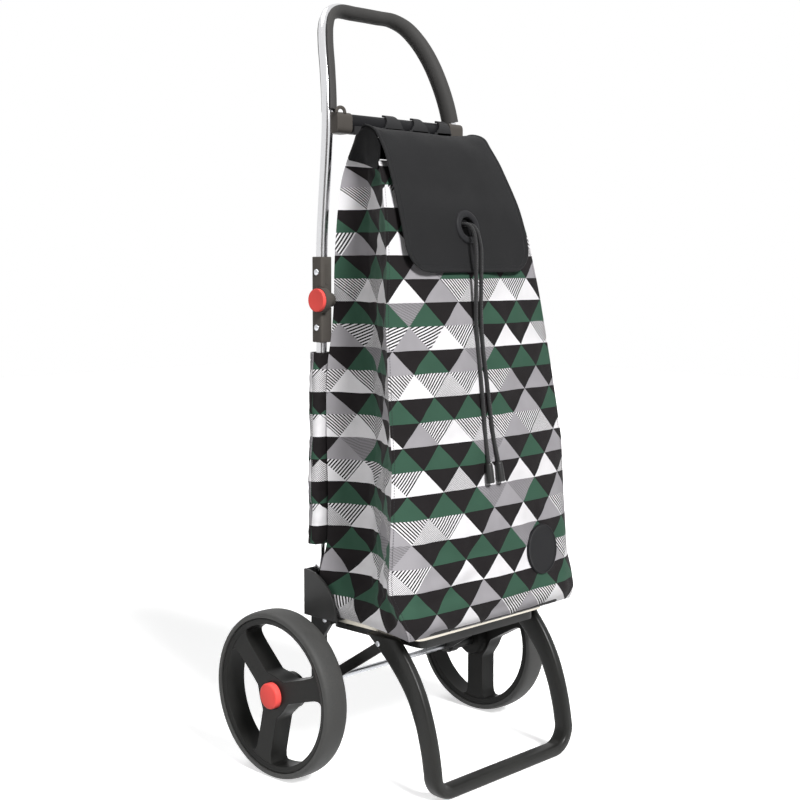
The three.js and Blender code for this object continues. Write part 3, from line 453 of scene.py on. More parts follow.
def ripple(u: Array, v: Array, waves: int, shortest: float, longest: float, seed: int) -> Array:
    """A repeatable mix of slanting waves, from -1 to 1 or so.

    Each wave is sin(2 pi (u cos(slant) + v sin(slant)) / length + phase), and they are added up.

    Args:
        u: places across.
        v: places along.
        waves: how many waves to add up.
        shortest: the shortest wave's length.
        longest: the longest wave's length.
        seed: what makes the mix repeatable.
    Returns:
        The height at each place.
    """
    draw = np.random.default_rng(seed)
    slant, phase = draw.uniform(0, np.pi, waves), draw.uniform(0, 2 * np.pi, waves)
    length = np.exp(draw.uniform(math.log(shortest), math.log(longest), waves))
    way = u[..., None] * np.cos(slant) + v[..., None] * np.sin(slant)
    return (np.sin(2 * np.pi * way / length + phase) * length / longest).sum(axis=-1) / math.sqrt(waves)


def surface_normals(points: Array) -> Array:
    """Unit normals of a grid of points: its two slopes, crossed."""
    return unit(np.cross(np.gradient(points, axis=1), np.gradient(points, axis=0)))


# ---------------------------------------------------------------- pieces


@dataclass(frozen=True)
class Ease:
    """A bevel along a piece's sharp edges: its width in millimetres and its steps."""

    width: float
    steps: int = 2
    sharper_than: float = 40.0


def make_piece(name: str, shell: Shell, finishes: list, body: str, nodes: tuple = (),
               ease: Ease | None = None, solid: bool = True, sharp: float = 38.0) -> bpy.types.Object:
    """Turn a shell into a finished object that rides on a body.

    Args:
        name: the piece's name.
        shell: its points and faces.
        finishes: its materials.
        body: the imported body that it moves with.
        nodes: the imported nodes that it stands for.
        ease: a bevel along its sharp edges.
        solid: whether it is closed, so that its faces are turned outward.
        sharp: the least angle between faces that shows as an edge, in degrees.
    Returns:
        The new object.
    """
    mesh = bpy.data.meshes.new(name)
    points = (shell.points + [0, AXLE_DEPTH, 0]) / 1000
    mesh.from_pydata(points.tolist(), [], [row for face in shell.faces for row in face.tolist()])
    if shell.cloth is not None:
        corners = np.empty(len(mesh.loops), dtype=np.int32)
        mesh.loops.foreach_get("vertex_index", corners)
        layer = mesh.uv_layers.new(name="cloth")
        layer.data.foreach_set("uv", shell.cloth[corners].astype(np.float32).ravel())
    for key, values in shell.marks.items():
        mesh.attributes.new(key, "FLOAT", "POINT").data.foreach_set("value", values.astype(np.float32))
    work = bmesh.new()
    work.from_mesh(mesh)
    bmesh.ops.remove_doubles(work, verts=work.verts, dist=2e-6)
    if solid:
        bmesh.ops.recalc_face_normals(work, faces=work.faces)
    work.to_mesh(mesh)
    work.free()
    mesh.polygons.foreach_set("use_smooth", np.ones(len(mesh.polygons), dtype=bool))
    mesh.set_sharp_from_angle(angle=math.radians(sharp))
    for finish in finishes:
        mesh.materials.append(finish)
    piece = bpy.data.objects.new(name, mesh)
    bpy.context.scene.collection.objects.link(piece)
    if ease:
        bevel = piece.modifiers.new("ease", "BEVEL")
        bevel.width, bevel.segments = ease.width / 1000, ease.steps
        bevel.limit_method, bevel.angle_limit = "ANGLE", math.radians(ease.sharper_than)
        bevel.harden_normals = True
    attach(piece, body)
    if nodes:
        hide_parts(*nodes)
    LOG.info("%s: %d faces on %s", name, len(mesh.polygons), body)
    return piece


def thicken(piece: bpy.types.Object, thickness: float, lining: int = 0) -> None:
    """Give a sheet its thickness, inward from its outer face.

    Args:
        piece: the sheet.
        thickness: in millimetres.
        lining: how many slots further on the inner face's material is.
    """
    solidify = piece.modifiers.new("thickness", "SOLIDIFY")
    solidify.thickness, solidify.offset = thickness / 1000, -1
    solidify.material_offset = lining


# ---------------------------------------------------------------- finishes


def ink(code: str) -> tuple[float, float, float, float]:
    """A colour written as six hex digits, as the linear values that shaders work in.

    Args:
        code: a hash sign and six hex digits.
    Returns:
        Red, green and blue, and a full alpha.
    """
    parts = [int(code[i:i + 2], 16) / 255 for i in (1, 3, 5)]
    linear = [p / 12.92 if p <= 0.04045 else ((p + 0.055) / 1.055) ** 2.4 for p in parts]
    return (*linear, 1.0)


class Graph:
    """Adds nodes to one tree and joins them."""

    def __init__(self, tree: bpy.types.NodeTree) -> None:
        """Take the tree to work in."""
        self.tree = tree

    def add(self, kind: str, inputs: dict | None = None, **settings: object) -> bpy.types.Node:
        """Add a node.

        Args:
            kind: the node's type.
            inputs: values or sockets for its inputs, by name or number.
            settings: the node's own properties.
        Returns:
            The node.
        """
        node = self.tree.nodes.new(kind)
        for key, value in settings.items():
            setattr(node, key, value)
        for key, value in (inputs or {}).items():
            self.feed(node.inputs[key], value)
        return node

    def feed(self, socket: bpy.types.NodeSocket, value: object) -> None:
        """Join a socket to another, or set its value.

        Args:
            socket: the input.
            value: a socket or a plain value.
        """
        if isinstance(value, bpy.types.NodeSocket):
            self.tree.links.new(value, socket)
        else:
            socket.default_value = value

    def math(self, operation: str, a: object, b: object = 0.0, c: object = 0.0) -> bpy.types.NodeSocket:
        """The outcome of a sum on one, two or three values."""
        return self.add("ShaderNodeMath", {0: a, 1: b, 2: c}, operation=operation).outputs[0]

    def mix(self, share: object, a: object, b: object) -> bpy.types.NodeSocket:
        """A colour between two others."""
        return self.add("ShaderNodeMix", {0: share, 6: a, 7: b}, data_type="RGBA").outputs[2]

    def span(self, value: object, low: float, high: float, to_low: float = 0.0,
             to_high: float = 1.0) -> bpy.types.NodeSocket:
        """A value carried from one span to another, and held at its ends."""
        inputs = {0: value, 1: low, 2: high, 3: to_low, 4: to_high}
        return self.add("ShaderNodeMapRange", inputs).outputs[0]

    def split(self, vector: object) -> bpy.types.NodeOutputs:
        """The three parts of a vector."""
        return self.add("ShaderNodeSeparateXYZ", {0: vector}).outputs

    def join(self, x: object = 0.0, y: object = 0.0, z: object = 0.0) -> bpy.types.NodeSocket:
        """A vector from three values."""
        return self.add("ShaderNodeCombineXYZ", {0: x, 1: y, 2: z}).outputs[0]


def empty_material(name: str) -> tuple[bpy.types.Material, Graph]:
    """A new material without nodes, and a graph for it.

    Args:
        name: the material's name.
    Returns:
        The material and its graph.
    """
    material = bpy.data.materials.new(name)
    material.use_nodes = True
    material.node_tree.nodes.clear()
    return material, Graph(material.node_tree)


class Effects:
    """The effects that several finishes share, each a group that is built once."""

    def __init__(self) -> None:
        """Build every group."""
        self.grain = self._grain()
        self.wear = self._wear()
        self.weave = self._weave()
        self.stitch = self._stitch()
        self.patchwork = self._patchwork()

    @staticmethod
    def _start(name: str, inputs: dict, outputs: dict) -> tuple[bpy.types.NodeTree, Graph, object, object]:
        """Start a group.

        Args:
            name: the group's name.
            inputs: its inputs' kinds and starting values, by name.
            outputs: its outputs' kinds, by name.
        Returns:
            The group, a graph for it, its inputs and its end node.
        """
        tree = bpy.data.node_groups.new(name, "ShaderNodeTree")
        for key, (kind, value) in inputs.items():
            socket = tree.interface.new_socket(key, in_out="INPUT", socket_type=f"NodeSocket{kind}")
            if value is not None:
                socket.default_value = value
        for key, kind in outputs.items():
            tree.interface.new_socket(key, in_out="OUTPUT", socket_type=f"NodeSocket{kind}")
        return tree, Graph(tree), tree.nodes.new("NodeGroupInput").outputs, tree.nodes.new("NodeGroupOutput")

    def _grain(self) -> bpy.types.NodeTree:
        """The fine pebbled skin of a moulding: small round cells over soft, larger unevenness.

        Returns:
            The group.
        """
        tree, g, given, end = self._start(
            "moulded_grain", {"Vector": ("Vector", None), "Pitch": ("Float", 0.0008)},
            {"Height": "Float", "Patches": "Float"})
        size = g.math("DIVIDE", 1.0, given["Pitch"])
        cells = g.add("ShaderNodeTexVoronoi", {"Vector": given["Vector"], "Scale": size}, feature="SMOOTH_F1")
        broad = g.add("ShaderNodeTexNoise", {"Vector": given["Vector"], "Scale": 22.0, "Detail": 3.0})
        g.feed(end.inputs["Height"], g.math("SUBTRACT", 1.0, cells.outputs["Distance"]))
        g.feed(end.inputs["Patches"], broad.outputs[0])
        return tree

    def _wear(self) -> bpy.types.NodeTree:
        """Hair-thin scratches and rubbed places: stretched noise, kept only at its peaks.

        Returns:
            The group.
        """
        tree, g, given, end = self._start(
            "wear", {"Vector": ("Vector", None), "Amount": ("Float", 0.5)}, {"Mask": "Float"})
        place = g.add("ShaderNodeVectorMath", {0: given["Vector"], 1: (900, 900, 60)}, operation="MULTIPLY")
        lines = g.add("ShaderNodeTexNoise", {"Vector": place.outputs[0], "Scale": 1.0, "Detail": 2.0})
        spots = g.add("ShaderNodeTexNoise", {"Vector": given["Vector"], "Scale": 35.0, "Detail": 4.0})
        scratch = g.span(lines.outputs[0], 0.62, 0.75)
        rubbed = g.span(spots.outputs[0], 0.52, 0.7)
        both = g.math("MULTIPLY", scratch, rubbed)
        g.feed(end.inputs["Mask"], g.math("MULTIPLY", both, given["Amount"]))
        return tree

    def _weave(self) -> bpy.types.NodeTree:
        """A plain weave: each thread's arch is |sin|, and over and under swap like a chessboard.

        Returns:
            The group.
        """
        tree, g, given, end = self._start(
            "plain_weave", {"Vector": ("Vector", None), "Pitch": ("Float", 0.0009)},
            {"Height": "Float", "Gaps": "Float"})
        x, y, _ = g.split(given["Vector"])
        a, b = g.math("DIVIDE", x, given["Pitch"]), g.math("DIVIDE", y, given["Pitch"])
        warp = g.math("ABSOLUTE", g.math("SINE", g.math("MULTIPLY", a, math.pi)))
        weft = g.math("ABSOLUTE", g.math("SINE", g.math("MULTIPLY", b, math.pi)))
        swap = g.math("PINGPONG", g.math("ADD", g.math("FLOOR", a), g.math("FLOOR", b)), 1.0)
        over = g.math("MULTIPLY", warp, swap)
        under = g.math("MULTIPLY", weft, g.math("SUBTRACT", 1.0, swap))
        g.feed(end.inputs["Height"], g.math("ADD", over, under))
        g.feed(end.inputs["Gaps"], g.math("MULTIPLY", warp, weft))
        return tree

    def _stitch(self) -> bpy.types.NodeTree:
        """A row of stitches: short raised dashes at a distance from an edge, in a shallow groove.

        Returns:
            The group.
        """
        tree, g, given, end = self._start(
            "stitches", {"Distance": ("Float", 0.0), "Along": ("Float", 0.0), "From edge": ("Float", 0.003)},
            {"Height": "Float", "Thread": "Float"})
        off = g.math("ABSOLUTE", g.math("SUBTRACT", given["Distance"], given["From edge"]))
        groove = g.span(off, 0.0, 0.0014, 1.0, 0.0)
        line = g.span(off, 0.0003, 0.0006, 1.0, 0.0)
        beat = g.math("FRACT", g.math("DIVIDE", given["Along"], 0.0034))
        dash = g.span(g.math("ABSOLUTE", g.math("SUBTRACT", beat, 0.5)), 0.30, 0.38, 1.0, 0.0)
        thread = g.math("MULTIPLY", line, dash)
        g.feed(end.inputs["Thread"], thread)
        g.feed(end.inputs["Height"], g.math("SUBTRACT", thread, g.math("MULTIPLY", groove, 0.7)))
        return tree

    def _patchwork(self) -> bpy.types.NodeTree:
        """Rows of triangles, point up and point down in turn, each filled from a short list of inks.

        A place's row is its height over the row height. In a row, a point is in an upright triangle
        where its distance from the triangle's middle is less than the row height left above it. A
        number drawn from the triangle's own place picks its filling. Every other row is mostly green
        and black, and the rest are mostly white and striped. Upright triangles and upturned ones
        draw on different fillings, so that few neighbours match.

        Returns:
            The group.
        """
        colours = {"Green": "#3b5a4a", "Black": "#1d1a1b", "White": "#f6f4f6", "Grey": "#a8a5a9"}
        given_in = {"Vector": ("Vector", None), "Base": ("Float", 0.06), "Row": ("Float", 0.0295),
                    "Stripe": ("Float", 0.0036)}
        given_in.update({key: ("Color", ink(code)) for key, code in colours.items()})
        tree, g, given, end = self._start("triangle_patchwork", given_in, {"Color": "Color"})
        x, y, _ = g.split(given["Vector"])
        level = g.math("DIVIDE", y, given["Row"])
        row = g.math("FLOOR", level)
        rise = g.math("FRACT", level)
        across = g.math("ADD", g.math("DIVIDE", x, given["Base"]), g.math("MULTIPLY", row, 0.5))
        from_middle = g.math("SUBTRACT", g.math("MULTIPLY", g.math("FRACT", across), 2.0), 1.0)
        tip = g.math("SUBTRACT", 1.0, g.math("ABSOLUTE", from_middle))
        upright = g.math("GREATER_THAN", tip, rise)
        upturned_cell = g.math("ADD", g.math("FLOOR", g.math("ADD", across, 0.5)), 40.5)
        cell = g.math("ADD", g.math("MULTIPLY", upright, g.math("FLOOR", across)),
                      g.math("MULTIPLY", g.math("SUBTRACT", 1.0, upright), upturned_cell))
        key = g.join(cell, row, g.math("MULTIPLY", upright, 3.0))
        draw = g.add("ShaderNodeTexWhiteNoise", {"Vector": key}, noise_dimensions="3D")
        other = g.add("ShaderNodeTexWhiteNoise", {"Vector": g.join(row, cell, 7.0)}, noise_dimensions="3D")
        pick, slant = draw.outputs["Value"], other.outputs["Value"]

        def stripes(a: float, b: float, finer: float = 1.0) -> bpy.types.NodeSocket:
            """Hard stripes across the direction (a, b), some times finer than the widest."""
            way = g.math("ADD", g.math("MULTIPLY", x, a * finer), g.math("MULTIPLY", y, b * finer))
            return g.math("GREATER_THAN", g.math("FRACT", g.math("DIVIDE", way, given["Stripe"])), 0.5)

        first, second, third = stripes(0.71, 0.71), stripes(0.71, -0.71), stripes(0.32, 0.95)
        to_second = g.math("GREATER_THAN", slant, 0.4)
        to_third = g.math("GREATER_THAN", slant, 0.78)
        lines = g.add("ShaderNodeMix", {0: to_second, 2: first, 3: second}, data_type="FLOAT").outputs[0]
        lines = g.add("ShaderNodeMix", {0: to_third, 2: lines, 3: third}, data_type="FLOAT").outputs[0]
        striped = g.mix(lines, given["White"], given["Black"])
        fine = g.mix(g.math("MULTIPLY", stripes(0.71, -0.71, 2.0), 0.75), given["White"], given["Black"])
        hatched = g.mix(g.math("MULTIPLY", stripes(0.2, 0.98, 2.0), 0.6), given["Grey"], given["Black"])

        def filled(colour: object, *steps: tuple) -> bpy.types.NodeSocket:
            """The first filling, or the last one whose limit the drawn number is over.

            Args:
                colour: the first filling.
                steps: pairs of a limit and a filling, rising.
            Returns:
                The filling that is picked.
            """
            for limit, filling in steps:
                colour = g.mix(g.math("GREATER_THAN", pick, limit), colour, filling)
            return colour

        dark_up = filled(given["Green"], (0.7, given["Grey"]))
        dark_down = filled(given["Black"], (0.8, hatched))
        light_up = filled(given["White"], (0.6, given["Grey"]), (0.84, fine))
        light_down = filled(given["Black"], (0.42, striped))
        dark = g.mix(upright, dark_down, dark_up)
        light = g.mix(upright, light_down, light_up)
        colour = g.mix(g.math("PINGPONG", row, 1.0), dark, light)
        g.feed(end.inputs["Color"], colour)
        return tree


@dataclass
class Paint:
    """Starts a material and finishes it: its graph, its Principled shader and its bump."""

    name: str

    def __post_init__(self) -> None:
        """Make the material."""
        self.material, self.g = empty_material(self.name)
        self.shader = self.g.add("ShaderNodeBsdfPrincipled")
        self.g.add("ShaderNodeOutputMaterial", {"Surface": self.shader.outputs[0]})
        coordinates = self.g.add("ShaderNodeTexCoord")
        self.place, self.cloth = coordinates.outputs["Object"], coordinates.outputs["UV"]

    def group(self, tree: bpy.types.NodeTree, **inputs: object) -> bpy.types.NodeOutputs:
        """Place a shared effect, with its own values.

        Args:
            tree: the effect's group.
            inputs: values or sockets, with _ for a space in their names.
        Returns:
            The effect's outputs.
        """
        node = self.g.add("ShaderNodeGroup", node_tree=tree)
        for key, value in inputs.items():
            self.g.feed(node.inputs[key.replace("_", " ")], value)
        return node.outputs

    def attribute(self, name: str) -> bpy.types.NodeSocket:
        """A value that the mesh holds at each point."""
        return self.g.add("ShaderNodeAttribute", attribute_name=name).outputs["Fac"]

    def bump(self, height: object, strength: float, distance: float, under: object = None) -> object:
        """A normal bent by a height, over another bump if there is one.

        Args:
            height: the height to follow.
            strength: how much of it counts.
            distance: how deep it is, in metres.
            under: the normal of the bump below.
        Returns:
            The bent normal.
        """
        inputs = {"Height": height, "Strength": strength, "Distance": distance}
        if under is not None:
            inputs["Normal"] = under
        return self.g.add("ShaderNodeBump", inputs).outputs[0]

    def close(self, **inputs: object) -> bpy.types.Material:
        """Set the shader's sockets, with _ for a space in their names, and return the material.

        Args:
            inputs: values or sockets.
        Returns:
            The material.
        """
        for key, value in inputs.items():
            self.g.feed(self.shader.inputs[key.replace("_", " ")], value)
        return self.material


@dataclass(frozen=True)
class Moulding:
    """Moulded plastic with a pebbled skin, faint patches and rubbed edges."""

    name: str
    colour: str
    worn: str
    roughness: float = 0.5
    pitch: float = 0.0009
    depth: float = 0.00005
    gloss: float = 0.1

    def build(self, effects: Effects) -> bpy.types.Material:
        """Make the material.

        Args:
            effects: the shared effects.
        Returns:
            The material.
        """
        paint = Paint(self.name)
        grain = paint.group(effects.grain, Vector=paint.place, Pitch=self.pitch)
        wear = paint.group(effects.wear, Vector=paint.place, Amount=0.6)["Mask"]
        patch = paint.g.span(grain["Patches"], 0.3, 0.7)
        tone = paint.g.mix(paint.g.math("MULTIPLY", patch, 0.35), ink(self.colour), ink(self.worn))
        colour = paint.g.mix(wear, tone, ink(self.worn))
        rough = paint.g.math("ADD", paint.g.span(patch, 0, 1, self.roughness - 0.05, self.roughness + 0.06),
                             paint.g.math("MULTIPLY", wear, 0.15))
        normal = paint.bump(grain["Height"], 0.35, self.depth)
        return paint.close(Base_Color=colour, Roughness=rough, Normal=normal, Specular_IOR_Level=self.gloss)


@dataclass(frozen=True)
class FoamedRubber:
    """A soft tyre: finely pitted, with a paler dusty bloom where it rolls."""

    name: str
    colour: str
    dust: str

    def build(self, effects: Effects) -> bpy.types.Material:
        """Make the material.

        Args:
            effects: the shared effects.
        Returns:
            The material.
        """
        paint = Paint(self.name)
        g = paint.g
        grain = paint.group(effects.grain, Vector=paint.place, Pitch=0.0013)
        speck = g.add("ShaderNodeTexNoise", {"Vector": paint.place, "Scale": 420.0, "Detail": 3.0}).outputs[0]
        dusty = g.math("MULTIPLY", g.span(grain["Patches"], 0.42, 0.7), g.span(speck, 0.4, 0.65))
        colour = g.mix(g.math("MULTIPLY", dusty, 0.5), ink(self.colour), ink(self.dust))
        rough = g.span(dusty, 0, 1, 0.62, 0.85)
        pits = g.math("ADD", grain["Height"], g.math("MULTIPLY", speck, 0.6))
        return paint.close(Base_Color=colour, Roughness=rough, Normal=paint.bump(pits, 0.4, 0.00012))


@dataclass(frozen=True)
class BrightMetal:
    """Drawn metal: fine lines along its length, faint smears and a few scratches."""

    name: str
    colour: str
    roughness: float
    drawn: tuple = (1600, 1600, 14)

    def build(self, effects: Effects) -> bpy.types.Material:
        """Make the material.

        Args:
            effects: the shared effects.
        Returns:
            The material.
        """
        paint = Paint(self.name)
        g = paint.g
        place = g.add("ShaderNodeVectorMath", {0: paint.place, 1: self.drawn}, operation="MULTIPLY")
        streaks = {"Vector": place.outputs[0], "Scale": 1.0, "Detail": 2.0}
        lines = g.add("ShaderNodeTexNoise", streaks).outputs[0]
        smear = paint.group(effects.grain, Vector=paint.place, Pitch=0.02)["Patches"]
        wear = paint.group(effects.wear, Vector=paint.place, Amount=0.8)["Mask"]
        dark = tuple(value * 0.78 for value in ink(self.colour)[:3]) + (1.0,)
        colour = g.mix(g.math("MULTIPLY", wear, 0.5), ink(self.colour), dark)
        rough = g.math("ADD", g.span(smear, 0.3, 0.7, self.roughness - 0.04, self.roughness + 0.08),
                       g.math("MULTIPLY", lines, 0.06))
        normal = paint.bump(lines, 0.12, 0.00002)
        return paint.close(Base_Color=colour, Metallic=1.0, Roughness=rough, Normal=normal)


@dataclass(frozen=True)
class Cloth:
    """Woven polyester, plain or printed with the patchwork, with stitches near its seams."""

    name: str
    colour: str
    printed: bool = False
    roughness: float = 0.72
    pitch: float = 0.0009
    sheen: float = 0.04
    hem: float = 0.0
    seam: float = 0.0

    def build(self, effects: Effects) -> bpy.types.Material:
        """Make the material.

        Args:
            effects: the shared effects.
        Returns:
            The material.
        """
        paint = Paint(self.name)
        g = paint.g
        weave = paint.group(effects.weave, Vector=paint.cloth, Pitch=self.pitch)
        uneven = g.add("ShaderNodeTexNoise", {"Vector": paint.place, "Scale": 30.0, "Detail": 4.0}).outputs[0]
        plain = ink(self.colour)
        if self.printed:
            plain = paint.group(effects.patchwork, Vector=paint.cloth)["Color"]
        # Painted shade between the threads: the colour goes towards near-black where the weave's threads
        # part.
        shade = g.math("MULTIPLY", g.span(weave["Gaps"], 0.0, 0.6, 1.0, 0.0), 0.1 if self.printed else 0.35)
        colour = g.mix(shade, plain, (0.012, 0.012, 0.013, 1))
        tone = g.span(uneven, 0.3, 0.75, 0.93, 1.03)
        tones = g.join(tone, tone, tone)
        colour = g.add("ShaderNodeVectorMath", {0: colour, 1: tones}, operation="MULTIPLY").outputs[0]
        normal = paint.bump(weave["Height"], 0.35, 0.00012)
        crease = g.add("ShaderNodeTexNoise", {"Vector": paint.place, "Scale": 16.0, "Detail": 2.5,
                                              "Distortion": 0.6}).outputs[0]
        normal = paint.bump(crease, 0.35, 0.0022, normal)
        if self.hem or self.seam:
            distance = paint.attribute("edge")
            along = g.split(paint.cloth)[1] if self.seam else paint.attribute("along")
            row = paint.group(effects.stitch, Distance=distance, Along=along, From_edge=self.hem or self.seam)
            colour = g.mix(g.math("MULTIPLY", row["Thread"], 0.6), colour, (0.03, 0.03, 0.032, 1))
            normal = paint.bump(row["Height"], 0.8, 0.0006, normal)
        rough = g.span(uneven, 0.3, 0.7, self.roughness - 0.06, self.roughness + 0.06)
        return paint.close(Base_Color=colour, Roughness=rough, Normal=normal, Sheen_Weight=self.sheen,
                           Sheen_Roughness=0.4, Specular_IOR_Level=0.12)


@dataclass(frozen=True)
class Braid:
    """A braided cord: two sets of slanting strands that cross, lighter where they cross: a painted highlight.
    """

    name: str
    colour: str
    light: str

    def build(self, effects: Effects) -> bpy.types.Material:
        """Make the material.

        Args:
            effects: the shared effects.
        Returns:
            The material.
        """
        paint = Paint(self.name)
        g = paint.g
        x, y, _ = g.split(paint.cloth)
        a, b = g.math("DIVIDE", x, 0.00204), g.math("DIVIDE", y, 0.0034)
        one = g.math("ABSOLUTE", g.math("SINE", g.math("MULTIPLY", g.math("ADD", a, b), math.pi)))
        two = g.math("ABSOLUTE", g.math("SINE", g.math("MULTIPLY", g.math("SUBTRACT", a, b), math.pi)))
        height = g.math("MAXIMUM", one, two)
        # Painted highlight: the colour turns lighter where both sets of strands stand high.
        crest_highlight = g.math("MULTIPLY", g.math("MULTIPLY", one, two), 0.6)
        colour = g.mix(crest_highlight, ink(self.colour), ink(self.light))
        return paint.close(Base_Color=colour, Roughness=0.78, Normal=paint.bump(height, 0.9, 0.0004),
                           Sheen_Weight=0.2)


class Finishes:
    """Every finish on the trolley, built once."""

    def __init__(self) -> None:
        """Build the shared effects, then each finish."""
        effects = Effects()
        self.wheel = Moulding("wheel_plastic", "#1b1b1a", "#2b2b2a", 0.42, gloss=0.12).build(effects)
        self.foot = Moulding("foot_plastic", "#232322", "#2f2f2d", 0.36, gloss=0.2).build(effects)
        self.black = Moulding("black_plastic", "#242424", "#313130", 0.42, gloss=0.3).build(effects)
        self.joint = Moulding("joint_plastic", "#524e4a", "#625e59", 0.5).build(effects)
        self.grip = Moulding("grip_plastic", "#4a4948", "#595857", 0.6, 0.0007).build(effects)
        self.comb = Moulding("comb_plastic", "#323233", "#3e3e3f", 0.5).build(effects)
        self.cover = Moulding("bar_cover_plastic", "#18181a", "#242426", 0.4).build(effects)
        self.red = Moulding("red_plastic", "#fa5a54", "#ff7a74", 0.35, 0.0006, 0.00002).build(effects)
        self.tyre = FoamedRubber("tyre_rubber", "#333332", "#4c4b49").build(effects)
        self.ring = Moulding("eyelet_plastic", "#2a2a2c", "#38383a", 0.5).build(effects)
        self.tube = BrightMetal("bright_tube", "#dcdcde", 0.16).build(effects)
        self.steel = BrightMetal("zinc_steel", "#c4c6ca", 0.26, (14, 1600, 1600)).build(effects)
        self.strip = BrightMetal("platform_strip", "#cfc9bd", 0.3, (14, 14, 1600)).build(effects)
        self.print = Cloth("printed_cloth", "#808080", printed=True, seam=0.0032).build(effects)
        self.sleeve = Cloth("printed_sleeve_cloth", "#808080", printed=True).build(effects)
        self.lining = Cloth("lining_cloth", "#141415", roughness=0.8, sheen=0.05).build(effects)
        self.flap = Cloth("flap_cloth", "#262627", roughness=0.7, pitch=0.0008, hem=0.0085).build(effects)
        self.yoke = Cloth("yoke_cloth", "#0f0f10", roughness=0.75).build(effects)
        self.braid = Braid("braided_cord", "#0e0e0f", "#202021").build(effects)
        self.board = Moulding("board", "#3a3a3a", "#4a4a4a", 0.8).build(effects)


# ---------------------------------------------------------------- wheels


